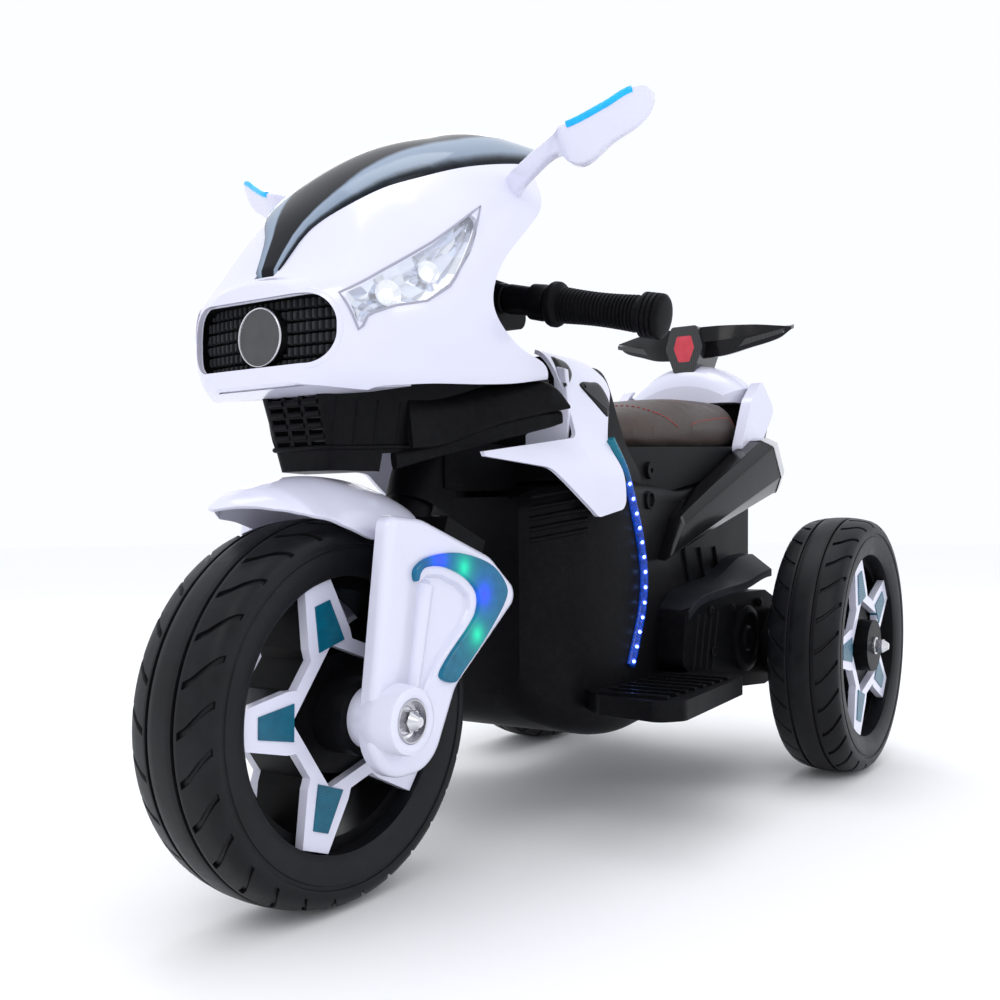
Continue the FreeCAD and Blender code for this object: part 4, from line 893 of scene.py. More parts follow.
class Mould:
    """Builds meshes from points in millimetres."""

    @staticmethod
    def piece(name: str, points: Sequence, faces: Sequence[Sequence[int]], sharp_deg: float = 40.0,
              scale: float = MM) -> Piece:
        """Mesh object in the frame, smooth apart from its sharp edges.

        Args:
            name: its name.
            points: its points.
            faces: its faces as point numbers.
            sharp_deg: angle from which an edge is sharp.
            scale: metres per unit of the points.

        Returns:
            The object.
        """
        mesh = bpy.data.meshes.new(name)
        mesh.from_pydata([tuple(c * scale for c in p) for p in points], [], [tuple(f) for f in faces])
        mesh.validate()
        bm = bmesh.new()
        bm.from_mesh(mesh)
        bmesh.ops.recalc_face_normals(bm, faces=bm.faces)
        bm.to_mesh(mesh)
        bm.free()
        mesh.shade_smooth()
        mesh.set_sharp_from_angle(angle=math.radians(sharp_deg))
        made = bpy.data.objects.new(name, mesh)
        bpy.context.scene.collection.objects.link(made)
        return made

    @staticmethod
    def weave(rows: Sequence[Sequence], ring: bool, loop: bool = False, caps: bool = True) -> Mesh:
        """Points and faces of a skin over rows of points.

        Args:
            rows: rows of equal length.
            ring: whether each row is closed.
            loop: whether the last row meets the first.
            caps: whether closed rows get end faces.

        Returns:
            The points and the faces.
        """
        wide = len(rows[0])
        tall = len(rows)
        points = [p for row in rows for p in row]
        faces = []
        for i in range(tall if loop else tall - 1):
            below = (i + 1) % tall
            for k in range(wide if ring else wide - 1):
                right = (k + 1) % wide
                faces.append((i * wide + k, i * wide + right, below * wide + right, below * wide + k))
        if caps and ring and not loop:
            faces.append(tuple(reversed(range(wide))))
            faces.append(tuple(range((tall - 1) * wide, tall * wide)))
        return points, faces

    @staticmethod
    def pack(parts: Sequence[Mesh]) -> Mesh:
        """Several skins as one.

        Args:
            parts: points and faces of each.

        Returns:
            All points and all faces.
        """
        points: list = []
        faces: list = []
        for own, shapes in parts:
            first = len(points)
            points += own
            faces += [tuple(first + i for i in shape) for shape in shapes]
        return points, faces

    @staticmethod
    def spun(profile: Sequence[Flat], steps: int, at: Vector, along: Vector, closed: bool = False) -> Mesh:
        """Turned skin.

        Args:
            profile: distance along the axis and radius of each ring.
            steps: points round a ring.
            at: the axis's start.
            along: the axis's direction.
            closed: whether the last ring meets the first.

        Returns:
            The points and the faces.
        """
        along = along.normalized()
        side = along.orthogonal().normalized()
        other = along.cross(side)
        rows = []
        for far, radius in profile:
            centre = at + along * far
            rows.append([centre + (side * math.cos(a) + other * math.sin(a)) * max(radius, 0.001)
                         for a in (2 * math.pi * k / steps for k in range(steps))])
        return Mould.weave(rows, True, closed)

    @staticmethod
    def hose(path: Sequence[Vector], radius: float, steps: int = 10, closed: bool = False) -> Mesh:
        """Round bar along a path.

        Args:
            path: its centre line.
            radius: its radius.
            steps: points round it.
            closed: whether it comes back to its start.

        Returns:
            The points and the faces.
        """
        total = len(path)
        rows = []
        side = None
        for i in range(total):
            before = path[i - 1] if closed or i else path[0]
            after = path[(i + 1) % total] if closed or i < total - 1 else path[-1]
            along = (after - before).normalized()
            side = along.orthogonal() if side is None else side - along * side.dot(along)
            side = side.normalized()
            other = along.cross(side)
            rows.append([path[i] + (side * math.cos(a) + other * math.sin(a)) * radius
                         for a in (2 * math.pi * k / steps for k in range(steps))])
        return Mould.weave(rows, True, closed)

    @staticmethod
    def slab(outline: Sequence[Flat], rings: Sequence[Flat], lift: Callable[[float, float, float], Point],
             hole: Union[tuple[Sequence[Flat], Sequence[Flat]], None] = None) -> Mesh:
        """Plate with shaped edges and maybe a sunk panel in its face.

        Args:
            outline: closed flat outline.
            rings: inset and height of each edge ring, from the back to the face.
            lift: turns a flat point and a height to a point.
            hole: outline and rings of the sunk panel.

        Returns:
            The points and the faces.
        """
        rows = [[lift(a, b, height) for a, b in shrunk(outline, inset)] for inset, height in rings]
        points, faces = Mould.weave(rows, True)
        if hole is None:
            return points, faces
        faces.pop()
        wide = len(outline)
        face_ring = list(range(len(points) - wide, len(points)))
        inner_line, inner_rings = hole
        sunk = [[lift(a, b, height) for a, b in shrunk(inner_line, inset)] for inset, height in inner_rings]
        own, shapes = Mould.weave(sunk, True)
        shapes.pop(-2)
        first = len(points)
        points += own
        faces += [tuple(first + i for i in shape) for shape in shapes]
        inner_ring = list(range(first, first + len(inner_line)))
        faces += Mould.bridge(points, face_ring, inner_ring)
        return points, faces

    @staticmethod
    def bridge(points: Sequence, outer: Sequence[int], inner: Sequence[int]) -> list[tuple[int, ...]]:
        """Flat faces between an outline and a hole in it.

        Args:
            points: all points.
            outer: point numbers of the outline.
            inner: point numbers of the hole.

        Returns:
            The faces.
        """
        bm = bmesh.new()
        number = {}
        edges = []
        for ring in (outer, inner):
            made = []
            for i in ring:
                vert = bm.verts.new(Vector(points[i]))
                number[vert] = i
                made.append(vert)
            edges += [bm.edges.new((made[k - 1], made[k])) for k in range(len(made))]
        bmesh.ops.triangle_fill(bm, use_beauty=True, edges=edges)
        faces = [tuple(number[v] for v in face.verts) for face in bm.faces]
        bm.free()
        return faces

    @staticmethod
    def other_side(part: Mesh) -> Mesh:
        """The same skin on the rider's right."""
        points, faces = part
        return [(-p[0], p[1], p[2]) for p in points], [tuple(reversed(f)) for f in faces]

    @staticmethod
    def twins(part: Mesh) -> Mesh:
        """A left skin and its right twin as one."""
        return Mould.pack([part, Mould.other_side(part)])


def add(name: str, part: Mesh, body: str, finish: Finish, replaces: Sequence[str] = (),
        sharp_deg: float = 40.0) -> Piece:
    """Makes one piece, seats it on its body and gives it its finish.

    Args:
        name: its name.
        part: its points and faces, in millimetres.
        body: the body it rides on.
        finish: its finish.
        replaces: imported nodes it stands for.
        sharp_deg: angle from which an edge is sharp.

    Returns:
        The object.
    """
    made = Mould.piece(name, part[0], part[1], sharp_deg)
    return settle(made, body, finish, replaces)


def settle(made: Piece, body: str, finish: Finish,
           replaces: Sequence[str] = ()) -> Piece:
    """Seats a made piece on its body and gives it its finish.

    Args:
        made: the piece.
        body: the body it rides on.
        finish: its finish.
        replaces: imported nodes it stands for.

    Returns:
        The same object.
    """
    finish.paint(made)
    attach(made, body)
    if replaces:
        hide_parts(*replaces)
    LOG.info("made %s on %s", made.name, body)
    return made


def by_front(x: float, dy: float, dz: float) -> Vector:
    """Point given from the front axle."""
    return Vector((x, FRONT_Y + dy, AXLE_Z + dz))


@dataclass
class Wheel:
    """One moulded tyre with hooked shoulder grooves."""

    prefix: str
    body: str
    x: float
    y: float
    pitches: int = 28
    groove_depth: float = 2.6
    skew_deg: float = 9.0
    hook_start: float = 17.6
    hook_end: float = 39.2
    bed_radius: float = 120.0
    profile: tuple = ((0, 150, 0), (6, 149.9, 0), (11.0, 149.5, 0), (11.4, 149.3, 0), (11.8, 147.0, 0),
                      (14.2, 146.9, 0), (14.6, 149.1, 0), (15.0, 149.2, 0), (17.2, 148.9, 0),
                      (17.8, 148.8, 1), (24, 147.7, 1), (31, 145.9, 1), (34.5, 144.1, 1), (37.4, 141.4, 1),
                      (39.0, 138.6, 1), (39.3, 137.6, 0), (40, 134, 0), (39.7, 131.4, 0), (38.6, 130.9, 0),
                      (38.6, 128.0, 0), (39.5, 127.4, 0), (39.2, 121, 0), (38.0, 116, 0), (37, 112, 0),
                      (35.6, 108.4, 0), (34, 106.2, 0))
    columns: tuple = ((0.0, 0), (0.10, 0), (0.125, 1), (0.245, 1), (0.27, 0), (0.45, 0), (0.63, 0),
                      (0.81, 0))

    def tyre(self) -> None:
        """Ring of columns, sheared so that each groove bends over the shoulder."""
        line = list(self.profile) + [(-x, r, g) for x, r, g in reversed(self.profile[1:])]
        rows = []
        for pitch in range(self.pitches):
            for share, sunk in self.columns:
                turn = 2 * math.pi * (pitch + share) / self.pitches
                rows.append([self.point(turn, sunk, *station) for station in line])
        add(self.prefix + "_tyre_shown", Mould.weave(rows, True, True), self.body, TYRE,
            (self.prefix + "_tyre",), 33.0)

    def point(self, turn: float, sunk: int, x: float, radius: float, groove: int) -> Point:
        """One point of the tyre's skin.

        Args:
            turn: angle of its column.
            sunk: 1 on a groove's column.
            x: its place across the tyre.
            radius: its radius.
            groove: 1 on a row that grooves cross.

        Returns:
            The point.
        """
        share = min(max((abs(x) - self.hook_start) / (self.hook_end - self.hook_start), 0.0), 1.0)
        if radius < self.profile[15][1]:
            share = 1.0
        turn += math.radians(self.skew_deg) * share ** 1.4
        if sunk and groove:
            way = Vector((x * 0.4 - x, self.bed_radius - radius)).normalized() * self.groove_depth
            x, radius = x + way.x, radius + way.y
        return (self.x + x, self.y + radius * math.sin(turn), AXLE_Z + radius * math.cos(turn))


@dataclass
class Fork:
    """White fork legs with their hooked lights, axle cups and the front fender."""

    inner_x: float = 52.0
    skin_x: float = 65.0
    outer_x: float = 80.0
    soft: float = 7.0
    sink: float = 5.0
    edge: tuple = ((-4, 152), (-34, -46), (44, -46), (76, 14), (170, 84), (126, 118), (36, 149))
    turns: tuple = (10, 40, 36, 30, 14, 40, 60)
    rib: tuple = ((26, 136), (0, -28), (38, -32), (66, 14), (152, 82), (122, 108), (40, 136))
    panel: tuple = ((25, 100), (19, 57), (8, 8), (28, 2), (44, 24), (56, 39), (86, 62), (95, 75), (95, 87),
                    (80, 98), (58, 106), (38, 107))
    hook: tuple = ((20, 103), (21, 112), (39, 120), (77, 122), (119, 112), (141, 95), (141, 80), (114, 53),
                   (82, 28), (68, 19), (50, 26), (61, 40), (90, 63), (100, 75), (100, 89), (84, 102),
                   (58, 111), (36, 112), (28, 108), (25, 102))
    tube_low: Flat = (21, 6)
    tube_high: Flat = (42, 98)
    tube_radius: float = 12.0
    boss_radius: float = 26.0
    boss_face: float = 96.0
    well_radius: float = 17.0
    well_depth: float = 10.0
    fender_stations: tuple = ((-28, (51, 46, 3)), (-12, (51.8, 48, 1)), (-5, (51.8, 48, 1)),
                              (7, (51.8, 39, 2)), (14, (51.8, 30, 3)), (18.7, (51, 25, 4)),
                              (21.2, (45.4, 21, 4.5)), (23.2, (39.5, 17, 5)), (25.1, (33, 13.5, 5)),
                              (26.6, (26.6, 10, 5.3)), (30, (14, 4, 5.7)), (33, (3, 0.8, 5.8)))
    fender_crest: float = 181.0
    fender_wall: float = 3.0
    fender_rows: int = 72
    fender_columns: int = 32
    fender_ease: float = 1.35
    fender_roll: float = 1.2

    def lift(self, dy: float, dz: float, x: float) -> Vector:
        """Side-view point of the left leg."""
        return by_front(x, dy, dz)

    def leg(self) -> Mesh:
        """Left leg: soft plate, sunk panel, tube and axle boss."""
        outline = rounded(self.edge, self.turns, 14)
        r = self.soft
        rings = [(1.5, self.skin_x), (0.0, self.skin_x + 1.5)]
        rings += [(r * (1 - math.cos(a)), self.outer_x - r * (1 - math.sin(a)))
                  for a in (math.radians(t) for t in (0, 18, 36, 54, 72, 90))]
        rings.append((r + 0.6, self.outer_x))
        inner = rounded(self.panel, (5, 20, 6, 8, 12, 12, 8, 7, 8, 10, 10, 5), 5)
        floor = self.outer_x - self.sink
        sunk = [(0.0, self.outer_x), (0.8, self.outer_x - 0.5), (1.6, self.outer_x - 1.6),
                (2.4, floor + 0.9), (3.4, floor), (4.2, floor)]
        plate = Mould.slab(outline, rings, self.lift, (inner, sunk))
        foot = by_front(self.outer_x - self.tube_radius, *self.tube_low)
        head = by_front(self.outer_x - self.tube_radius, *self.tube_high)
        tube = Mould.spun([(0, 2), (0, self.tube_radius), ((head - foot).length, self.tube_radius),
                           ((head - foot).length + 4, self.tube_radius - 5)], 40, foot, head - foot)
        well = self.boss_face - self.well_depth
        boss = Mould.spun([(self.inner_x, 5), (self.inner_x, 24), (self.outer_x - 6, 30),
                           (self.outer_x, 27.5), (self.boss_face - 3.5, self.boss_radius),
                           (self.boss_face - 1, self.boss_radius - 1),
                           (self.boss_face, self.boss_radius - 3.5),
                           (self.boss_face, self.well_radius + 1.5),
                           (self.boss_face - 1.2, self.well_radius), (well, self.well_radius), (well, 5)],
                          56, by_front(0, 0, 0), Vector((1, 0, 0)), True)
        rib = Mould.slab(rounded(self.rib, 12, 6), [(0, self.inner_x), (0, self.skin_x + 1.0)], self.lift)
        return Mould.pack([plate, rib, tube, boss])

    def cup(self) -> Mesh:
        """Plated cup in the left boss, round the axle nut."""
        well = self.boss_face - self.well_depth
        profile = [(0.1, 11.4), (0.1, 16.8), (8.6, 16.8), (9.4, 16.2), (9.2, 15.4), (1.6, 14.2), (1.2, 11.4)]
        return Mould.spun([(well + a, b) for a, b in profile], 48, by_front(0, 0, 0), Vector((1, 0, 0)),
                          True)

    def light(self) -> Mesh:
        """Left hooked lens with a domed face."""
        outline = [tuple(p) for p in flowing(self.hook, 6, True)]
        base = self.outer_x - 4.0
        rings = [(0.0, base), (0.0, base + 5.4), (0.35, base + 6.4), (0.9, base + 7.0), (1.6, base + 7.3)]
        return Mould.slab(outline, rings, self.lift)

    def fender(self) -> Piece:
        """Beak-shaped arch with a rolled edge."""
        rows = []
        first, last = self.fender_stations[0][0], self.fender_stations[-1][0]
        for i in range(self.fender_rows + 1):
            angle = first + (last - first) * (1 - (1 - i / self.fender_rows) ** self.fender_ease)
            half, skirt, lift = between(self.fender_stations, angle)
            turn = math.radians(angle)
            top = self.fender_crest + lift
            bend = (half * half + skirt * skirt) / (2 * skirt)
            reach = math.atan2(half, bend - skirt)
            row = []
            for k in range(self.fender_columns + 1):
                a = reach * (2 * k / self.fender_columns - 1)
                x = bend * math.sin(a)
                radius = top - bend + bend * math.cos(a)
                row.append((x, FRONT_Y - radius * math.sin(turn), AXLE_Z + radius * math.cos(turn)))
            rows.append(row)
        points, faces = Mould.weave(rows, False)
        made = Mould.piece("front_fender_shown", points, faces, 60.0)
        wall = made.modifiers.new("wall", "SOLIDIFY")
        wall.thickness = self.fender_wall * MM
        wall.offset = -1.0
        wall.use_even_offset = True
        edge = made.modifiers.new("rolled_edge", "BEVEL")
        edge.width = self.fender_roll * MM
        edge.segments = 3
        edge.angle_limit = math.radians(50)
        return made

    def build(self) -> None:
        """All pieces of the fork."""
        left = self.leg()
        add("fork_leg_left_shown", left, "steering", WHITE, ("fork_leg_left",))
        add("fork_leg_right_shown", Mould.other_side(left), "steering", WHITE,
            ("fork_leg_right",))
        add("fork_lights_shown", Mould.twins(self.light()), "steering", HOOK, ("fork_lights",),
            12.0)
        add("axle_cups", Mould.twins(self.cup()), "steering", STEEL)
        settle(self.fender(), "steering", WHITE, ("front_fender",))


@dataclass
class Cowl:
    """Front fairing's screen, mouth, grille, badge ring and headlights."""

    frame: Frame
    screen: tuple = ((10, -48), (20, -27), (37, -11), (55, 16), (68, 74), (75, 134), (78, 198), (80, 300))
    screen_rise: float = 2.2
    screen_front: float = -45.0
    screen_rear: float = 278.0
    screen_sweep: float = 58.0
    sweep_power: float = 2.2
    mouth_half: float = 72.0
    mouth_low: float = 258.0
    mouth_high: float = 307.0
    mouth_turn: float = 22.0
    grille_dy: float = -44.0
    bar_pitch: float = 5.6
    knob_rows: int = 6
    knob_gap: float = 2.0
    lip: tuple = ((3.4, -0.4), (2.2, -0.5), (0.9, 0.5), (0.0, 1.8), (-0.4, 3.6), (2.0, 4.4))
    liner: tuple = ((0.6, 2.6), (-0.6, 2.8), (-0.6, 17.0), (2.4, 17.0))
    badge_dz: float = 281.0
    belly_edge: tuple = ((-60, (33, 246)), (-46, (59, 242)), (-22, (75, 241)), (18, (87, 245)))
    belly_from: float = -52.0
    belly_to: float = 14.0
    belly_rows: int = 18
    badge_radius: float = 22.0
    lamp_top: tuple = ((-39, 281), (-46, 306.5), (-16, 326), (31, 354.5), (92, 395.5))
    lamp_low: tuple = ((-38, 280), (-33, 292), (-15, 300), (16, 308), (42, 324), (66, 358), (91, 393.5))

    @property
    def screen_shares(self) -> list[float]:
        """Places across the screen, -1 to 1."""
        rim = [1.0, 0.985, 0.965, 0.93]
        return [-r for r in rim] + [k / 12 for k in range(-10, 11)] + list(reversed(rim))

    def screen_half(self, dy: float) -> float:
        """Half width of the screen at a place along the bike."""
        return between([(b, (a,)) for a, b in self.screen], dy)[0]

    def windshield(self) -> Mesh:
        """Raised dark screen whose rim dips into the cowl."""
        skin = self.frame.skin("windshield", "front_fairing")
        down = Vector((0, 0, -1))
        shares = self.screen_shares
        ends = (0.0, 0.006, 0.015, 0.035)
        alongs = list(ends) + [0.06 + 0.88 * k / 40 for k in range(41)] + [1 - e for e in reversed(ends)]
        rows = []
        for along in alongs:
            row = []
            for share in shares:
                last = self.screen_rear - self.screen_sweep * abs(share) ** self.sweep_power
                dy = self.screen_front + (last - self.screen_front) * along
                met = None
                while met is None:
                    met = skin.hit(by_front(0.985 * share * self.screen_half(dy), dy, 0), down)
                    dy -= 1.0
                at, normal = met
                rim = min(1 - abs(share), 2.2 * along, 1.6 * (1 - along))
                rise = -1.6 if rim <= 0 else self.screen_rise * min(1.0, (rim / 0.07) ** 0.5)
                row.append(at + normal * rise)
            rows.append(row)
        return self.shell(rows, Vector((0, 0, -1.5)))

    @staticmethod
    def shell(rows: Sequence[Sequence[Vector]], step: Vector) -> Mesh:
        """Closed thin skin from a grid and its shifted copy.

        Args:
            rows: the grid.
            step: from the face to the back.

        Returns:
            The points and the faces.
        """
        face_points, face_quads = Mould.weave(rows, False)
        back_points = [p + step for p in face_points]
        total = len(face_points)
        wide = len(rows[0])
        tall = len(rows)
        rim = [k for k in range(wide)] + [i * wide + wide - 1 for i in range(1, tall)]
        rim += [(tall - 1) * wide + k for k in range(wide - 2, -1, -1)]
        rim += [i * wide for i in range(tall - 2, 0, -1)]
        faces = list(face_quads) + [tuple(total + i for i in reversed(quad)) for quad in face_quads]
        faces += [(rim[k], rim[k - 1], total + rim[k - 1], total + rim[k]) for k in range(len(rim))]
        return face_points + back_points, faces

    def mouth_line(self, grow: float, steps: int = 10) -> list[Flat]:
        """Outline of the mouth in front view, grown outwards."""
        half = self.mouth_half + grow
        low, high = self.mouth_low - grow, self.mouth_high + grow
        corners = [(-half, low), (half, low), (half, high), (-half, high)]
        return rounded(corners, self.mouth_turn + grow, steps)

    def mouth_ring(self, section: Sequence[Flat], seated: bool) -> Mesh:
        """Ring round the mouth that follows the cowl's skin.

        Args:
            section: growth of the mouth's outline and depth behind the skin, for each point of the section.
            seated: whether the ring starts with an edge sunk into the skin.

        Returns:
            The points and the faces.
        """
        skin = self.frame.skin("front_fairing")
        ahead = Vector((0, 1, 0))
        edge = self.mouth_line(3.4, 12)
        lines = [self.mouth_line(grow, 12) for grow, _ in section]
        outer = self.mouth_line(4.8, 12)
        rows = []
        dy = self.grille_dy
        for k, (x, dz) in enumerate(edge):
            met = skin.hit(by_front(x, 0, dz), ahead)
            dy = met[0].y - FRONT_Y if met else dy
            row = []
            if seated:
                far = skin.hit(by_front(outer[k][0], 0, outer[k][1]), ahead)
                row.append(far[0] - far[1] * 0.8 if far else by_front(outer[k][0], dy + 1.0, outer[k][1]))
            row += [by_front(line[k][0], dy + deep, line[k][1]) for line, (_, deep) in zip(lines, section)]
            rows.append(row)
        return Mould.weave(rows, True, True)

    def grille(self) -> Mesh:
        """Columns of small upright knobs."""
        half = self.mouth_half + 1.5
        low, high = self.mouth_low - 1.5, self.mouth_high + 1.5
        turn = self.mouth_turn + 1.5
        tall = (high - low) / self.knob_rows
        parts = []
        columns = int(half / self.bar_pitch)
        for i in range(-columns, columns + 1):
            x = i * self.bar_pitch
            over = max(abs(x) - (half - turn), 0.0)
            drop = turn - math.sqrt(max(turn * turn - over * over, 0.0))
            for j in range(self.knob_rows):
                foot = max(low + j * tall + self.knob_gap / 2, low + drop)
                head = min(low + (j + 1) * tall - self.knob_gap / 2, high - drop)
                if head - foot < 2.4:
                    continue
                corners = [(x - 1.5, foot), (x + 1.5, foot), (x + 1.5, head), (x - 1.5, head)]
                parts.append(Mould.slab(corners, [(0, 7.8), (0, 1.2), (0.6, 0.2), (0.9, 0.0)],
                                        self.grille_point))
        return Mould.pack(parts)

    def grille_back(self) -> Mesh:
        """Dark plate that carries the knobs."""
        return Mould.slab(self.mouth_line(3.0), [(0, 10.0), (0, 8.0), (0.5, 7.5)], self.grille_point)

    def grille_point(self, x: float, dz: float, depth: float) -> Vector:
        """Point of the grille, whose sides sweep back with the cowl."""
        return by_front(x, self.grille_dy - 3.0 + 7.0 * (x / self.mouth_half) ** 2 + depth, dz)

    def badge_ring(self) -> Mesh:
        """Bright bead round the blank badge."""
        r = self.badge_radius
        profile = [(0.0, r - 1.7), (0.8, r - 1.4), (1.1, r - 0.8), (0.8, r - 0.3), (0.0, r)]
        face = by_front(0, self.grille_dy - 9.0, self.badge_dz)
        return Mould.spun(profile, 64, face, Vector((0, -1, 0)), True)

    def lamp_point(self, skin: Skin, along: float, across: float, depth: float) -> Vector:
        """Point behind the left headlight lens.

        Args:
            skin: the lens and cowl.
            along: 0 at the low front tip, 1 at the high rear tip.
            across: 0 at the upper edge, 1 at the lower edge.
            depth: how far under the skin.

        Returns:
            The point.
        """
        def on(line: Sequence[Flat]) -> Vector:
            place = along * (len(line) - 1)
            i = min(int(place), len(line) - 2)
            return Vector(line[i]).lerp(Vector(line[i + 1]), place - i)

        flat = on(self.lamp_top).lerp(on(self.lamp_low), across)
        met = skin.hit(by_front(0, flat.x, flat.y), Vector((-1, 0, 0)))
        at, normal = met if met else (by_front(80, flat.x, flat.y), Vector((1, 0, 0)))
        return at - normal * depth

    def reflector(self) -> Mesh:
        """Faceted mirror behind the left lens."""
        skin = self.frame.skin("headlight_lenses", "front_fairing")
        steps, wide = 14, 5
        rows = []
        for i in range(steps + 1):
            row = []
            for k in range(wide + 1):
                inner = 0 < k < wide and 0 < i < steps
                depth = 4.0 + 9.0 * math.sin(math.pi * k / wide) * math.sin(math.pi * i / steps) ** 0.5
                depth += (3.5 if (i + 2 * k) % 3 == 0 else 0.0) if inner else 0.0
                row.append(self.lamp_point(skin, i / steps, k / wide, depth))
            rows.append(row)
        return self.shell(rows, Vector((-1.2, 0.6, 0)))

    def bowls(self) -> tuple[Mesh, Mesh]:
        """Round bowls and their bulbs behind the left lens."""
        skin = self.frame.skin("headlight_lenses", "front_fairing")
        out = Vector((0.82, -0.55, 0.1)).normalized()
        cups = []
        bulbs = []
        for along, radius in ((0.42, 9.6), (0.66, 8.2)):
            at = self.lamp_point(skin, along, 0.5, 13.0)
            cup = [(0, 2.0), (2.0, radius * 0.6), (7.0, radius), (7.8, radius), (7.4, radius - 0.9),
                   (2.4, 2.0)]
            cups.append(Mould.spun(cup, 32, at, out, True))
            bulbs.append(Mould.spun([(1, 0.1), (1, 2.6), (5, 3.0), (7, 2.2), (7.8, 0.1)], 20, at, out))
        return Mould.pack(cups), Mould.pack(bulbs)

    def lens_rim(self) -> Mesh:
        """Bright line round the left lens."""
        skin = self.frame.skin("headlight_lenses", "front_fairing")
        line = [self.lamp_point(skin, i / 20, 0, -0.2) for i in range(21)]
        line += [self.lamp_point(skin, i / 20, 1, -0.2) for i in range(19, 0, -1)]
        return Mould.hose(line, 0.9, 8, True)

    def belly(self) -> Mesh:
        """Rounded plate that closes the cowl's chin from below."""
        rows = []
        for i in range(self.belly_rows + 1):
            dy = self.belly_from + (self.belly_to - self.belly_from) * i / self.belly_rows
            half, low = between(self.belly_edge, dy)
            rows.append([by_front(half * k / 12, dy, low + 2.4 - 2.0 * (1 - (k / 12) ** 2))
                         for k in range(-12, 13)])
        return self.shell(rows, Vector((0, 0, 1.4)))

    def build(self) -> None:
        """All pieces of the cowl."""
        screen = add("windshield_shown", self.windshield(), "steering", SCREEN,
                     ("windshield",), 50.0)
        # Distance from the screen's middle, read by its material to place the painted reflection band.
        shares = [abs(share) for share in self.screen_shares]
        across = screen.data.attributes.new("across", "FLOAT", "POINT")
        across.data.foreach_set("value", shares * (len(screen.data.vertices) // len(shares)))
        add("mouth_lip", self.mouth_ring(self.lip, True), "steering", WHITE)
        add("mouth_liner", self.mouth_ring(self.liner, False), "steering", DEEP_BLACK)
        add("front_grille_shown", self.grille(), "steering", GRILLE_GREY, ("front_grille",))
        add("grille_back", self.grille_back(), "steering", DEEP_BLACK)
        add("badge_bead", self.badge_ring(), "steering", STEEL)
        mirror = add("headlight_reflectors_shown", Mould.twins(self.reflector()), "steering", CHROME,
                     ("headlight_reflectors",), 4.0)
        for finish in (ICE, AMBER, LILAC):
            mirror.data.materials.append(finish.material())
        for i, face in enumerate(mirror.data.polygons):
            face.material_index = (0, 3, 1, 0, 3, 1, 0, 2)[(i * 5 + i // 3) % 8]
        cups, bulbs = self.bowls()
        add("lamp_bowls", Mould.twins(cups), "steering", CHROME)
        add("lamp_bulbs", Mould.twins(bulbs), "steering", BULB)
        add("lens_rims", Mould.twins(self.lens_rim()), "steering", SEAM)
        add("cowl_belly", self.belly(), "steering", WHITE, (), 60.0)


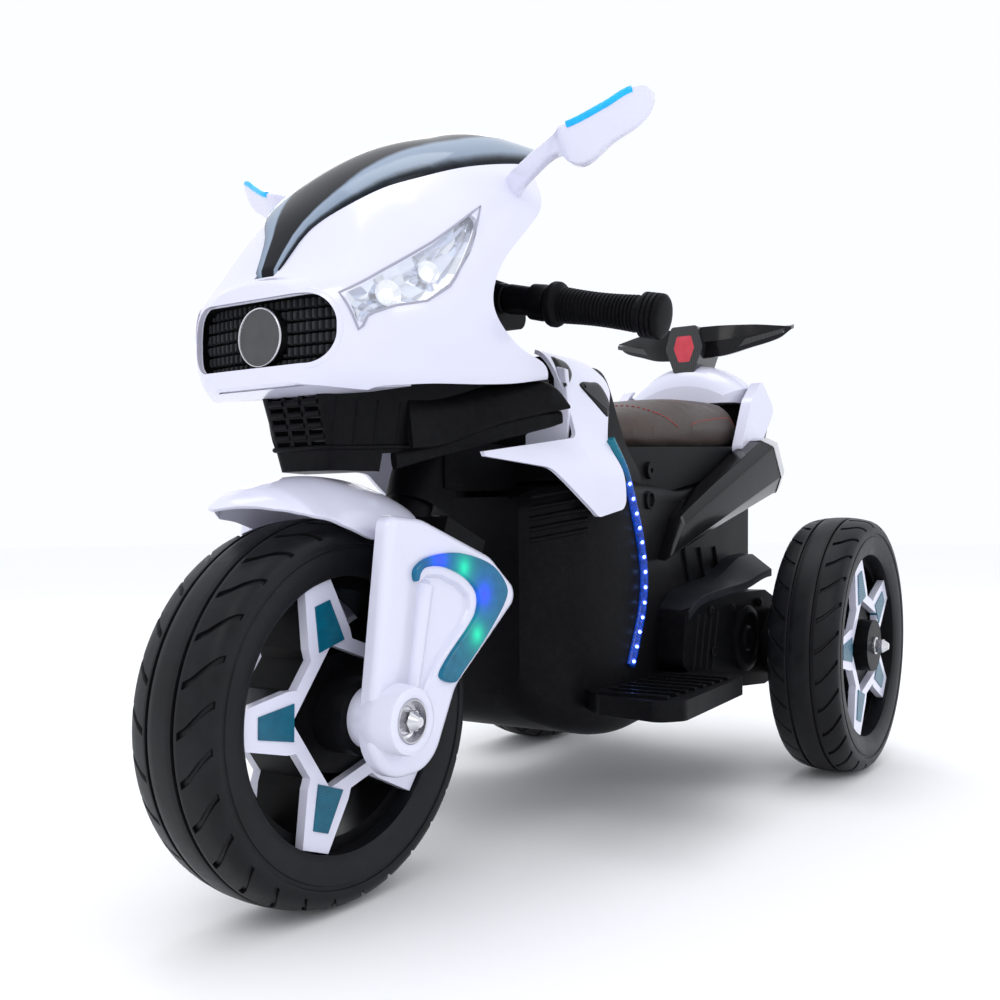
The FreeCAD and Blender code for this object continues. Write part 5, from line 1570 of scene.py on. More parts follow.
@dataclass
class Bars:
    """Ribbed grips, clamp cover details and mirrors."""

    knee: Point = (45.0, 188.0, 346.0)
    droop_deg: float = 11.5
    sweep_deg: float = 3.4
    grip_start: float = 55.0
    grip_length: float = 108.0
    bar_radius: float = 9.0
    grip_radius: float = 14.5
    rib_count: int = 20
    rib_rise: float = 1.1
    sleeve_radius: float = 13.0
    stations: tuple = ((80, (142, 431, 142, 405, 156, 405, 156, 431, 5)),
                       (115, (131, 443, 131, 425, 141, 425, 141, 443, 3.5)),
                       (146, (117, 450, 124, 436, 136, 436, 136, 450, 3.5)),
                       (156, (109, 452, 124, 428, 138, 427, 138, 452, 4)),
                       (163, (110, 453, 127, 425, 139, 425, 139, 454, 4)),
                       (190, (120.5, 465.5, 134, 440, 142, 440.5, 142, 467, 3.4)),
                       (210, (129, 476, 140, 451, 146, 451.5, 146, 477, 2.6)),
                       (218, (134, 477, 142, 460, 147, 460, 147, 476, 1.8)),
                       (221, (139, 474, 142, 466, 146, 466, 146, 473, 1.2)))
    mirror_rows: int = 72
    signal_rows: int = 24
    glass_rows: int = 14
    signal_from: float = 162.0
    signal_to: float = 209.0
    signal_radius: float = 2.7
    glass_from: float = 161.0
    glass_to: float = 212.0

    def along(self) -> Vector:
        """Direction of the left arm of the bar."""
        droop, sweep = math.radians(self.droop_deg), math.radians(self.sweep_deg)
        return Vector((math.cos(droop) * math.cos(sweep), math.cos(droop) * math.sin(sweep),
                       -math.sin(droop)))

    def grip(self) -> Mesh:
        """Left grip: flange, ribbed barrel, neck and grooved end cap."""
        r = self.grip_radius
        profile = [(0, self.bar_radius), (0, 16.5), (1.0, 18.6), (3.0, 19.4), (7.0, 19.4), (9.0, 18.4),
                   (10.5, r + 0.5)]
        first, last = 12.0, self.grip_length - 24.0
        pitch = (last - first) / self.rib_count
        for i in range(self.rib_count):
            at = first + i * pitch
            barrel = r - 1.4 * math.sin(math.pi * (i + 0.5) / self.rib_count)
            rise = barrel + self.rib_rise
            profile += [(at, barrel - 0.3), (at + pitch * 0.2, rise), (at + pitch * 0.55, rise),
                        (at + pitch * 0.75, barrel - 0.3)]
        at = last + 1.0
        profile += [(at, r - 1.0), (at + 2.0, r - 1.0), (at + 3.5, 17.2)]
        for k in range(3):
            begin = at + 4.5 + k * 4.4
            profile += [(begin, 18.8), (begin + 2.9, 18.8), (begin + 3.3, 17.6), (begin + 4.0, 17.6)]
        end = self.grip_length
        profile += [(end - 4.5, 18.8), (end - 2.4, 18.4), (end - 0.8, 16.8), (end - 0.1, 13.5),
                    (end + 0.5, 7.0), (end + 0.6, 0.2)]
        start = by_front(*self.knee) + self.along() * self.grip_start
        return Mould.spun(profile, 56, start, self.along())

    def sleeve(self) -> Mesh:
        """Thick sleeve with two collars between the clamp and the left grip."""
        r = self.sleeve_radius
        profile = [(-6, self.bar_radius), (-4, r), (8, r), (9, r - 1.2), (12, r - 1.2), (13, r),
                   (36, r - 0.6), (37, r + 2.4), (48, r + 2.8), (52, r + 1.8), (54, self.bar_radius)]
        return Mould.spun(profile, 48, by_front(*self.knee), self.along())

    def corners(self, x: float) -> list[Flat]:
        """Front top, front low, rear low and rear top of the left mirror at a place across."""
        v = between(self.stations, x)
        return [(v[k], v[k + 1]) for k in (0, 2, 4, 6)]

    def mirror(self) -> Mesh:
        """Left mirror: blade arm running out to a wedge-shaped head."""
        first, last = self.stations[0][0], self.stations[-1][0]
        rows = []
        for i in range(self.mirror_rows + 1):
            x = first + (last - first) * i / self.mirror_rows
            turn = between(self.stations, x)[8]
            outline = rounded(self.corners(x), (turn * 0.5, turn, turn, turn * 0.8), 5)
            rows.append([by_front(x, dy, dz) for dy, dz in outline])
        return Mould.weave(rows, True)

    def signal(self) -> Mesh:
        """Lit bead along the left mirror's upper front edge."""
        path = []
        for i in range(self.signal_rows + 1):
            x = self.signal_from + (self.signal_to - self.signal_from) * i / self.signal_rows
            top, low, _, rear = (Vector(c) for c in self.corners(x))
            inward = (low - top).normalized() + (rear - top).normalized()
            at = top + inward.normalized() * 3.0
            path.append(by_front(x, at.x, at.y))
        return Mould.hose(path, self.signal_radius, 14)

    def glass(self) -> Mesh:
        """Thin mirror plate on the rear of the left head."""
        rows = []
        for i in range(self.glass_rows + 1):
            x = self.glass_from + (self.glass_to - self.glass_from) * i / self.glass_rows
            _, _, low, high = (Vector(c) for c in self.corners(x))
            edge = 0.2 if i in (0, self.glass_rows) else 0.13
            row = [low.lerp(high, edge + (1 - 2 * edge) * k / 6) for k in range(7)]
            rows.append([by_front(x, at.x + 0.7, at.y) for at in row])
        return Cowl.shell(rows, Vector((0, -1.6, 0)))

    def build(self) -> None:
        """All pieces of the handlebar."""
        add("handle_grips_shown", Mould.twins(self.grip()), "steering", GRIP_RUBBER,
            ("handle_grips",))
        add("bar_sleeves", Mould.twins(self.sleeve()), "steering", SATIN_BLACK)
        add("mirror_housings_shown", Mould.twins(self.mirror()), "steering", WHITE,
            ("mirror_housings",), 50.0)
        add("mirror_signals_shown", Mould.twins(self.signal()), "steering", SIGNAL,
            ("mirror_signals",), 60.0)
        add("mirror_glasses_shown", Mould.twins(self.glass()), "steering", MIRROR,
            ("mirror_glasses",))


@dataclass
class Skirt:
    """Folds, ridges, louvres and foot bead of the black skirt under the cowl."""

    frame: Frame
    ridges: tuple = (-12, 6, 24, 44)
    fold: tuple = ((-278, (56, 354, 398, 3)), (-255, (63, 356, 400, 7)), (-225, (75, 365, 404, 9)),
                   (-197, (90, 377, 410, 9)), (-170, (104, 385, 414, 8)), (-158, (110, 388.5, 416, 7)),
                   (-148, (114, 391, 411, 5)), (-138, (118, 393.5, 397, 2.5)))
    lower: tuple = ((-285, (47, 338, 352, 3)), (-250, (60, 348, 364, 5)), (-215, (79, 358, 376, 6)),
                    (-190, (91, 366, 384, 6)), (-165, (102, 373, 392, 6)), (-149, (108, 377.5, 393, 5)),
                    (-141, (112, 381, 392, 2.5)))
    ledge: tuple = ((0, -13, 203), (26, -12.5, 203), (31, -8, 203), (37, 12, 204), (47, 47, 206),
                    (57, 85, 208))
    louvre_low: float = 203.0
    louvre_pitch: Flat = (18.0, 8.5)
    louvre_half: float = 7.4
    louvre_face: Flat = (-10.6, 0.29)
    louvre_radius: float = 2.5
    louvre_rows: int = 5
    ledge_radius: float = 2.0
    ridge_radius: float = 1.3
    ridge_low: int = 204
    ridge_high: int = 246
    ridge_step: int = 6

    @staticmethod
    def wing(stations: Sequence, rows_total: int = 40, steps: int = 28) -> Mesh:
        """Swept fold on the left.

        Args:
            stations: place along the bike, and the outer face, low edge, high edge and bulge there.
            rows_total: sections along it.
            steps: points on each.

        Returns:
            The points and the faces.
        """
        rows = []
        first, last = stations[0][0], stations[-1][0]
        for i in range(rows_total + 1):
            y = first + (last - first) * i / rows_total
            face, low, high, bulge = between(stations, y)
            middle, tall = (low + high) / 2, (high - low) / 2
            row = []
            for k in range(steps):
                a = 2 * math.pi * k / steps
                c, s = math.cos(a), math.sin(a)
                out = bulge * math.copysign(abs(c) ** 0.75, c)
                lean = -0.16 * tall * s
                row.append(Vector((face - bulge + out + lean, y,
                                   middle + tall * math.copysign(abs(s) ** 0.7, s))))
            rows.append(row)
        return Mould.weave(rows, True)

    def creases(self) -> Mesh:
        """Upright ridges down the left side of the skirt."""
        skin = self.frame.skin("fairing_lower")
        parts = []
        for dy in self.ridges:
            line = []
            for dz in range(self.ridge_low, self.ridge_high, self.ridge_step):
                met = skin.hit(by_front(0, dy, dz), Vector((-1, 0, 0)))
                if met:
                    line.append(met[0] - met[1] * 0.3)
            if len(line) > 2:
                parts.append(Mould.hose(line, self.ridge_radius, 8))
        return Mould.pack(parts)

    def louvres(self) -> Mesh:
        """Rounded bars in the slots of the skirt's front, held by the slots' ends."""
        wide, tall = self.louvre_pitch
        low_dy, lean = self.louvre_face
        parts = []
        for j in range(self.louvre_rows):
            for i in (-1, 0, 1):
                dz = self.louvre_low + tall * j
                dy = low_dy - lean * tall * j
                ends = [by_front(wide * i + way * self.louvre_half, dy, dz) for way in (-1, -0.4, 0.4, 1)]
                parts.append(Mould.hose(ends, self.louvre_radius, 12))
        return Mould.pack(parts)

    def ledges(self) -> Mesh:
        """Left half of the bead that runs round the skirt's foot."""
        return Mould.hose([by_front(*at) for at in flowing(self.ledge, 6)], self.ledge_radius, 10)

    def build(self) -> None:
        """All pieces of the skirt."""
        add("skirt_creases", Mould.twins(self.creases()), "steering", SATIN_BLACK)
        add("skirt_louvres", self.louvres(), "steering", SATIN_BLACK)
        add("skirt_ledges", Mould.twins(self.ledges()), "steering", SATIN_BLACK)
        add("skirt_wings", Mould.twins(self.wing(self.fold)), "steering", SATIN_BLACK, (),
            60.0)
        add("skirt_lower_folds", Mould.twins(self.wing(self.lower)), "steering", SATIN_BLACK,
            (), 60.0)


@dataclass
class Body:
    """Scoops, lit strips, mufflers, drive lids, wing blades, bosses and ribs of the body."""

    frame: Frame
    scoop: tuple = ((-90, 446), (-80, 448), (-68, 445), (-65, 437), (-69, 430), (-77, 424), (-85, 419),
                    (-90, 417))
    window: tuple = ((-57, 425), (-48, 429), (-35, 430), (-19, 431), (-11, 425), (-6, 414), (-9, 405),
                     (-17, 398), (-23, 400), (-30, 405), (-40, 412), (-50, 419))
    panel_front: tuple = ((40, 352), (84, 352), (88, 395), (84, 436), (71, 440), (72, 415), (66, 392),
                          (40, 378))
    hood_low: tuple = ((80, (203,)), (114, (217,)), (243, (227,)), (303, (237,)), (319, (238,)))
    hood_high: tuple = ((80, (206,)), (114, (219.5,)), (209, (232,)), (281, (254,)), (319, (256,)))
    flank_ribs: tuple = (160, 206, 252)
    blade: tuple = ((14, (547, 506, 360, 7)), (43, (547.5, 508.5, 366, 7)), (77, (547.5, 518, 380, 5)),
                    (110, (545.2, 529, 395, 3)), (124, (543.8, 540, 401, 1.5)))
    strip: tuple = ((297, 225), (311, 196), (327, 157), (342, 123), (350, 93), (346, 63), (330, 30),
                    (318, 6))
    hood_rows: int = 32
    blade_rows: int = 30
    can_rows: int = 24
    strip_half: float = 5.4
    strip_beside: float = 9.0
    lamps: int = 13
    lamp_out: Point = (0.8, -0.6, 0.0)
    lamp_rise: float = 4.4
    bosses: tuple = ((41, 318, 9.5), (156, 312, 8.5))
    slats: tuple = (324, 314, 304, 294, 284)
    cover_at: Point = (128.0, 237.0, 161.0)
    cover_radius: float = 38.0
    screws: tuple = ((142, 155), (136, 200), (196, 198), (280, 200))
    can_front: Flat = (93.0, 278.0)
    can_rear: Flat = (350.0, 370.0)
    can_front_face: tuple = ((112, -11), (112, 10), (104, 15), (84, 15), (84, -12), (106, -14))
    can_rear_face: tuple = ((126, -21), (126, 22), (112, 31), (86, 31), (86, -42), (114, -44))
    can_slant: tuple = ((0.0, (2.0,)), (0.15, (0.6,)), (0.5, (-0.2,)), (1.0, (-0.3,)))

    def patch(self, skin: Skin, outline: Sequence[Flat], rise: float, soft: float = 3.0) -> Mesh:
        """Low domed patch lying on the left side.

        Args:
            skin: what it lies on.
            outline: its closed outline seen from the side.
            rise: height of its dome.
            soft: width of its rounded rim.

        Returns:
            The points and the faces.
        """
        line = [tuple(p) for p in flowing(outline, 8, True)]
        rows = []
        for inset, height in ((0.0, -2.0), (0.0, 0.2), (soft * 0.4, rise * 0.6), (soft, rise * 0.85),
                              (soft * 2.2, rise)):
            row = []
            for a, b in shrunk(line, inset):
                met = skin.hit(Vector((0, a, b)), Vector((-1, 0, 0)))
                at, normal = met if met else (Vector((row[-1].x if row else 80.0, a, b)), Vector((1, 0, 0)))
                row.append(at + normal * height)
            rows.append(row)
        return Mould.weave(rows, True)

    def strip_line(self) -> list[Vector]:
        """Middle of the left strip's face, eased along the flank beside its groove."""
        skin = self.frame.skin("body_shell_left", "tank_cover", "side_panel_left")
        flat = flowing([(a, b, 0.0) for a, b in self.strip], 12)
        faces = []
        for k, at in enumerate(flat):
            ahead = (flat[min(k + 1, len(flat) - 1)] - flat[max(k - 1, 0)]).normalized()
            beside = Vector((ahead.y, -ahead.x, 0)) * self.strip_beside
            met = [skin.hit(by_front(0, *(at + beside * way)[:2]), Vector((-1, 0, 0))) for way in (1, -1)]
            found = [m[0].x for m in met if m]
            faces.append(sum(found) / len(found) if found else faces[-1])
        for _ in range(30):
            faces = [(faces[max(k - 1, 0)] + faces[k] + faces[min(k + 1, len(faces) - 1)]) / 3
                     for k in range(len(faces))]
        return [by_front(x + 1.6, at.x, at.y) for x, at in zip(faces, flat)]

    def ribbon(self) -> Mesh:
        """Left strip as a rounded band along its groove."""
        line = self.strip_line()
        rows = []
        for k, at in enumerate(line):
            ahead = (line[min(k + 1, len(line) - 1)] - line[max(k - 1, 0)]).normalized()
            side = ahead.cross(Vector((1, 0, 0))).normalized() * self.strip_half
            out = side.cross(ahead).normalized()
            out = out if out.x > 0 else -out
            rows.append([at + side * a + out * b for a, b in
                         ((-1.0, -5.0), (-1.0, 0.0), (-0.86, 2.3), (-0.5, 3.9), (0.0, 4.5), (0.5, 3.9),
                          (0.86, 2.3), (1.0, 0.0), (1.0, -5.0))])
        return Mould.weave(rows, True)

    def lit_strip(self) -> tuple[Mesh, Mesh]:
        """Lamps and their halos along the left strip."""
        line = self.strip_line()
        lengths = [0.0]
        for k in range(1, len(line)):
            lengths.append(lengths[-1] + (line[k] - line[k - 1]).length)
        lamps = []
        halos = []
        for i in range(self.lamps):
            far = lengths[-1] * (0.2 + 0.78 * i / (self.lamps - 1))
            k = max(j for j in range(len(line) - 1) if lengths[j] <= far)
            share = (far - lengths[k]) / (lengths[k + 1] - lengths[k])
            at = line[k].lerp(line[k + 1], share)
            out = Vector(self.lamp_out)
            at = at + out * self.lamp_rise
            halos.append(Mould.spun([(-2.0, 2.8), (0.3, 2.8), (0.6, 2.0), (0.7, 0.1)], 20, at, out))
            lamps.append(Mould.spun([(-0.5, 1.5), (0.9, 1.5), (1.5, 1.0), (1.7, 0.1)], 16, at, out))
        return Mould.pack(lamps), Mould.pack(halos)

    def rings(self) -> Mesh:
        """Ring bosses under the left edge of the seat."""
        skin = self.frame.skin("seat_base", "body_shell_left")
        parts = []
        for y, z, radius in self.bosses:
            met = skin.hit(Vector((0, y, z)), Vector((-1, 0, 0)))
            if met is None:
                continue
            profile = [(-1, radius), (3.2, radius), (4.0, radius - 0.8), (4.0, radius - 2.2),
                       (2.6, radius - 2.8), (1.4, radius - 3.2), (1.2, 0.2)]
            parts.append(Mould.spun(profile, 36, met[0], Vector((1, 0, 0))))
        return Mould.pack(parts)

    def slat(self, z: float) -> Mesh:
        """One raised slat round the left shoulder of the body's nose."""
        skin = self.frame.skin("body_shell_left")
        line = []
        for deg in range(20, 76, 5):
            turn = math.radians(deg)
            met = skin.hit(Vector((40, -50, z + 0.18 * (48 - deg))),
                           Vector((-math.cos(turn), math.sin(turn), 0)))
            if met:
                line.append(met[0] - met[1] * 0.4)
        return Mould.hose(line, 2.6, 10)

    def drive_cover(self) -> Mesh:
        """Round cover, screw heads and stiffening ribs on the left drive housing."""
        out = Vector((1, 0, 0))
        r = self.cover_radius
        plate = [(-1, r), (3.5, r), (5, r - 1.6), (5.4, r - 8), (3.4, r - 10), (3.4, 15), (6.5, 12.5),
                 (7, 0.2)]
        parts = [Mould.spun(plate, 56, Vector(self.cover_at), out)]
        head = [(-1, 5.2), (2.2, 5.2), (3.2, 4.2), (3.4, 2.6), (2.2, 2.2), (2.0, 0.2)]
        parts += [Mould.spun(head, 24, Vector((self.cover_at[0], y, z)), out) for y, z in self.screws]
        for k in range(4):
            foot = Vector((self.cover_at[0] - 0.6, 92 + 17.0 * k, 132))
            parts.append(Mould.hose([foot, foot + Vector((0, 8, 36)), foot + Vector((0, 16, 66))], 2.4, 10))
        return Mould.pack(parts)

    def can_row(self, share: float, far: float = 0.0, inset: float = 0.0) -> list[Vector]:
        """One slanted section of the left muffler.

        Args:
            share: 0 at its front end, 1 at its rear end.
            far: how far behind that place.
            inset: how much smaller it is there.

        Returns:
            The points of the section.
        """
        front, rear = Vector(self.can_front), Vector(self.can_rear)
        ahead = (rear - front).normalized()
        rise = Vector((-ahead.y, ahead.x))
        corners = [Vector(a).lerp(Vector(b), share) for a, b in zip(self.can_front_face, self.can_rear_face)]
        outline = rounded([tuple(c) for c in corners], 2.0 + 3.0 * share, 4)
        slant = between(self.can_slant, share)[0]
        row = []
        for x, b in shrunk(outline, inset):
            at = front.lerp(rear, share) + ahead * (slant * b + far) + rise * b
            row.append(Vector((x, at.x, at.y)))
        return row

    def can(self) -> Mesh:
        """Left muffler, growing from a slanted wedge to its rear end."""
        rows = [self.can_row(0.0, -1.2,
                             1.6)] + [self.can_row(k / self.can_rows) for k in range(self.can_rows + 1)]
        return Mould.weave(rows, True)

    def can_cap(self) -> Mesh:
        """Bright cap over the rear end of the left muffler."""
        rings = ((0.5, -4.0), (-0.7, -3.6), (-0.7, 0.0), (1.0, 12.0), (3.0, 19.0), (5.0, 21.6), (7.5, 22.4))
        return Mould.weave([self.can_row(1.0, far, inset) for inset, far in rings], True)

    def can_tip(self) -> Mesh:
        """Short open pipe in the left cap."""
        front, rear = Vector(self.can_front), Vector(self.can_rear)
        ahead = (rear - front).normalized()
        middle = (self.can_rear_face[0][0] + self.can_rear_face[3][0]) / 2
        at = Vector((middle, rear.x, rear.y))
        profile = [(18.0, 10.0), (18.0, 13.0), (29.0, 13.0), (30.0, 12.4), (30.0, 11.4), (24.0, 10.6),
                   (24.0, 0.2), (18.0, 0.2)]
        return Mould.spun(profile, 40, at, Vector((0, ahead.x, ahead.y)))

    def hood(self) -> Mesh:
        """Sloping lid over the left drive housing."""
        rows = []
        first, last = self.hood_low[0][0], self.hood_low[-1][0]
        for i in range(self.hood_rows + 1):
            y = first + (last - first) * i / self.hood_rows
            low, high = between(self.hood_low, y)[0], between(self.hood_high, y)[0]
            corners = [(88, high - 14), (129.5, low - 9), (129.5, low), (105, high), (88, high + 1)]
            rows.append([Vector((x, y, z)) for x, z in rounded(corners, 0.9, 3)])
        return Mould.weave(rows, True)

    def ribs(self) -> Mesh:
        """Slim slanted ribs on the left flank under the muffler."""
        skin = self.frame.skin("body_shell_left")
        parts = []
        for y in self.flank_ribs:
            line = [skin.hit(Vector((0, y + 0.4 * (264 - z), z)), Vector((-1, 0, 0)))
                    for z in range(230, 268, 4)]
            parts.append(Mould.hose([m[0] + m[1] * 0.6 for m in line if m], 2.4, 10))
        return Mould.pack(parts)

    def wing_blade(self) -> Mesh:
        """Left blade of the wing, thick at its root and drawn out to a point."""
        rows = []
        first, last = self.blade[0][0], self.blade[-1][0]
        for i in range(self.blade_rows + 1):
            x = first + (last - first) * i / self.blade_rows
            high, low, y, thick = between(self.blade, x)
            middle = (high + low) / 2
            corners = [(y - thick * 0.4, high), (y - thick, middle), (y - thick * 0.3, low),
                       (y + thick, low + 1), (y + thick * 1.6, high)]
            rows.append([Vector((x, a, b)) for a, b in rounded(corners, thick * 0.12, 3)])
        return Mould.weave(rows, True)

    def panel_noses(self) -> Mesh:
        """Left side panel's turned-in front edge, lying on the tank's face."""
        rings = [(0.0, -85.0), (0.0, -89.6), (0.5, -90.4), (1.4, -90.8)]
        return Mould.slab(rounded(self.panel_front, 2.0, 4), rings, lambda x, z, y: Vector((x, y, z)))

    def build(self) -> None:
        """All pieces of the body."""
        panel = self.frame.skin("side_panel_left", "tank_cover")
        scoops = Mould.pack([self.patch(panel, self.scoop, 2.2), self.patch(panel, self.window, 1.6)])
        add("tank_scoops", Mould.twins(scoops), "chassis", GLOSS_BLACK)
        add("led_strips_shown", Mould.twins(self.ribbon()), "chassis", STRIP_BLUE,
            ("led_strips",))
        lamps, halos = self.lit_strip()
        add("strip_lamps", Mould.twins(lamps), "chassis", LAMP_BLUE)
        add("strip_halos", Mould.twins(halos), "chassis", HALO_BLUE)
        add("seat_bosses", Mould.twins(self.rings()), "chassis", SATIN_BLACK)
        slats = Mould.pack([self.slat(z) for z in self.slats])
        add("nose_slats", Mould.twins(slats), "chassis", SATIN_BLACK)
        add("drive_covers", Mould.twins(self.drive_cover()), "chassis", SATIN_BLACK)
        add("mufflers_shown", Mould.twins(self.can()), "chassis", GLOSS_BLACK, ("mufflers",),
            25.0)
        add("muffler_caps", Mould.twins(self.can_cap()), "chassis", STEEL)
        add("muffler_tips_shown", Mould.twins(self.can_tip()), "chassis", CHROME, ("muffler_tips",))
        add("drive_hoods", Mould.twins(self.hood()), "chassis", HOOD_GREY, (), 25.0)
        add("flank_ribs", Mould.twins(self.ribs()), "chassis", SATIN_BLACK)
        add("wing_blades", Mould.twins(self.wing_blade()), "chassis", GLOSS_BLACK, (), 25.0)
        add("panel_noses", Mould.twins(self.panel_noses()), "chassis", WHITE)


@dataclass
class Saddle:
    """Padded leather cushion with a stitched top panel."""

    front: float = 15.0
    rear: float = 362.0
    plane: Flat = (371.0, 391.0)
    stations: tuple = ((0.0, (52, 22)), (0.1, (66, 40)), (0.3, (77, 52)), (0.6, (82, 60)), (0.88, (82, 61)),
                       (1.0, (72, 42)))
    start_inset: float = 4.0
    cell: float = 0.0055
    pressure: float = 4.0
    last_step: int = 20
    most_mm: float = 8.0
    fill: float = 0.8
    seams: tuple = (((0.05, 0.93), (0.11, 0.945), (0.24, 0.95), (0.385, 0.95), (0.46, 0.945), (0.64, 0.925),
                     (0.8, 0.91), (0.95, 0.9)),
                    ((0.2, 0.16), (0.25, 0.44), (0.305, 0.76), (0.39, 0.905), (0.45, 0.935)))

    def row(self, share: float, inset: float, steps: int = 40) -> list[Vector]:
        """One section of the cushion.

        Args:
            share: its place, 0 at the front and 1 at the rear.
            inset: how much smaller than the solid it is.
            steps: points on its arch.

        Returns:
            Its points, from the left foot over the crown to the right foot.
        """
        half, height = between(self.stations, share)
        foot = self.plane[0] + share * (self.plane[1] - self.plane[0])
        half, height = half - inset, height - inset
        y = self.front + inset + share * (self.rear - self.front - 2 * inset)
        row = []
        for k in range(steps + 1):
            a = math.pi * k / steps
            c, s = math.cos(a), math.sin(a)
            wide = half * math.copysign(abs(c) ** 0.44, c)
            up = height * abs(s) ** 0.58
            tuck = height * 0.14 * max(0.0, 1 - up / (height * 0.35)) * math.copysign(1, c)
            row.append(Vector((wide - tuck, y, foot + 0.6 + up)))
        return row

    def cushion(self) -> Piece:
        """Blown-up cover: remeshed, filled by cloth pressure and held near its pattern."""
        rows = [self.row(i / 40, self.start_inset) for i in range(41)]
        points, faces = Mould.weave(rows, True)
        made = Mould.piece("seat_cushion_shown", points, faces)
        view = bpy.context.view_layer
        view.objects.active = made
        made.select_set(True)
        remesh = made.modifiers.new("cloth_cells", "REMESH")
        remesh.mode = "VOXEL"
        remesh.voxel_size = self.cell
        bpy.ops.object.modifier_apply(modifier=remesh.name)
        start = np.empty(len(made.data.vertices) * 3, dtype=np.float32)
        made.data.vertices.foreach_get("co", start)
        self.blow(made, start.reshape(-1, 3))
        return made

    def blow(self, made: Piece, start: np.ndarray) -> None:
        """Runs the cloth and keeps each point near where it began.

        Args:
            made: the remeshed cover.
            start: its points before.
        """
        scene = bpy.context.scene
        low = start[:, 2].min() + 0.012
        group = made.vertex_groups.new(name="foot")
        nose = start[:, 1].min()
        held = [i for i in range(len(start)) if start[i, 2] < low + 0.02 * (start[i, 1] - nose) / 0.35]
        group.add(held, 1.0, "REPLACE")
        cloth = made.modifiers.new("cover", "CLOTH")
        cloth.settings.use_pressure = True
        cloth.settings.uniform_pressure_force = self.pressure
        cloth.settings.effector_weights.gravity = 0.0
        cloth.settings.vertex_group_mass = "foot"
        cloth.settings.tension_stiffness = 25.0
        cloth.settings.compression_stiffness = 25.0
        cloth.settings.bending_stiffness = 1.5
        cloth.point_cache.frame_start = 1
        cloth.point_cache.frame_end = self.last_step
        for step in range(1, self.last_step + 1):
            scene.frame_set(step)
        shown = made.evaluated_get(bpy.context.evaluated_depsgraph_get())
        now = np.empty(len(shown.data.vertices) * 3, dtype=np.float32)
        shown.data.vertices.foreach_get("co", now)
        made.modifiers.remove(cloth)
        move = now.reshape(-1, 3) - start
        size = np.linalg.norm(move, axis=1, keepdims=True)
        move *= np.minimum(1.0, self.most_mm * MM / np.maximum(size, 1e-9))
        made.data.vertices.foreach_set("co", (start + move).ravel())
        made.data.update()
        scene.frame_set(1)

    def build(self) -> None:
        """Cushion and stitched seams."""
        made = self.cushion()
        smooth = made.modifiers.new("even", "SMOOTH")
        smooth.factor = 0.5
        smooth.iterations = 4
        finer = made.modifiers.new("finer", "SUBSURF")
        finer.levels = 1
        finer.render_levels = 1
        made.data.shade_smooth()
        settle(made, "chassis", LEATHER, ("seat_cushion",))
        self.sew(made)

    def sew(self, made: Piece) -> None:
        """Red stitches along the edge of the top panel.

        Args:
            made: the cushion.
        """
        bpy.context.view_layer.update()
        shown = made.evaluated_get(bpy.context.evaluated_depsgraph_get())
        mesh = shown.to_mesh()
        skin = Skin(BVHTree.FromPolygons([v.co.copy() for v in mesh.vertices],
                                         [tuple(p.vertices) for p in mesh.polygons]))
        shown.to_mesh_clear()
        path = []
        for way, seam in ((1, self.seams[0]), (-1, self.seams[0]), (1, self.seams[1]), (-1, self.seams[1])):
            line = flowing([(a, b, 0.0) for a, b in seam], 16)
            own = []
            for at in line:
                share, wide = at.x, at.y
                half = between(self.stations, min(max(share, 0.0), 1.0))[0]
                y = self.front + share * (self.rear - self.front)
                met = skin.hit(Vector((way * wide * half, y, 0)), Vector((0, 0, -1)))
                if met:
                    own.append(met)
            path.append(own)
        stitches = []
        for own in path:
            far = 0.0
            for k in range(1, len(own)):
                far += (own[k][0] - own[k - 1][0]).length
                if far < 4.4:
                    continue
                far = 0.0
                ahead = (own[k][0] - own[k - 1][0]).normalized()
                at, normal = own[k]
                line = [at - ahead * 1.7 - normal * 0.5, at - ahead * 1.1 + normal * 0.35,
                        at + normal * 0.55, at + ahead * 1.1 + normal * 0.35,
                        at + ahead * 1.7 - normal * 0.5]
                stitches.append(Mould.hose(line, 0.55, 6))
        add("seat_stitching", Mould.pack(stitches), "chassis", STITCH)


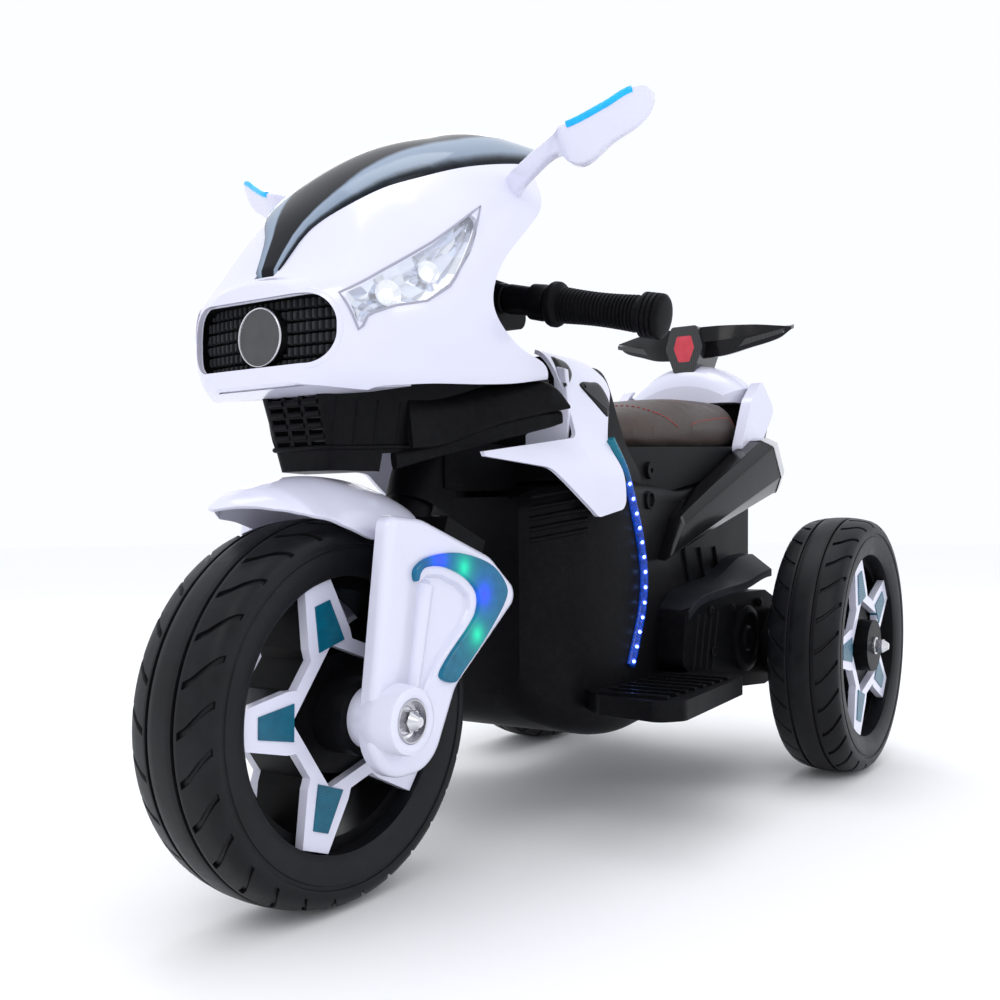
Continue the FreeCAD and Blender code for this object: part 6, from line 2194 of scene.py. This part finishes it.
def dress_frame(frame: Frame) -> None:
    """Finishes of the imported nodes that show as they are.

    Args:
        frame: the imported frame.
    """
    frame.dress(WHITE, "side_panel_left", "side_panel_right", "tail_cowl", "tail_side_panels", bevel_mm=1.2)
    frame.dress(WHITE, "front_fairing")
    frame.dress(WHITE, "front_spoke_trims", "rear_left_spoke_trims", "rear_right_spoke_trims", bevel_mm=1.5)
    frame.dress(SATIN_BLACK, "fairing_lower", "handlebar_cover", "steering_head", "tank_cover",
                "steering_stem",
                "footrest_left", "footrest_right", "seat_base", "gearboxes", "floor_pan", "fairing_bracket",
                "throttle_pedal", "charge_socket", bevel_mm=1.0)
    frame.dress(SATIN_BLACK, "body_shell_left", "body_shell_right")
    frame.dress(RIM_BLACK, "front_rim", "rear_left_rim", "rear_right_rim", bevel_mm=1.0)
    frame.dress(CARBON, "tail_wing", bevel_mm=1.0)
    frame.dress(GLOSS_BLACK, "handlebar_tube")
    frame.dress(LENS, "headlight_lenses")
    frame.dress(TEAL, "front_spoke_inserts", "rear_left_spoke_inserts", "rear_right_spoke_inserts",
                bevel_mm=0.6)
    frame.dress(BADGE, "badge_disc", bevel_mm=1.5)
    frame.dress(STEEL, "front_axle", "front_axle_nuts", "rear_axle", "rear_axle_nuts",
                "drive_motors", bevel_mm=0.5)
    frame.dress(RED, "tail_reflector", bevel_mm=0.5)
    frame.dress(CASE_GREY, "battery", bevel_mm=2.0)
    frame.dress(SWITCH_RED, "power_switch", "direction_switch", bevel_mm=0.6)


def main() -> None:
    """Builds the scene in order."""
    logging.basicConfig(level=logging.INFO, format="%(name)s: %(message)s")
    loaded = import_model()
    frame = Frame(loaded)
    Studio().build()
    dress_frame(frame)
    for wheel in (Wheel("front", "front_wheel", 0.0, FRONT_Y),
                  Wheel("rear_left", "rear_wheel_left", 212.0, REAR_Y),
                  Wheel("rear_right", "rear_wheel_right", -212.0, REAR_Y)):
        wheel.tyre()
    Fork().build()
    Cowl(frame).build()
    Bars().build()
    Skirt(frame).build()
    Body(frame).build()
    Saddle().build()


if __name__ == "__main__":
    main()
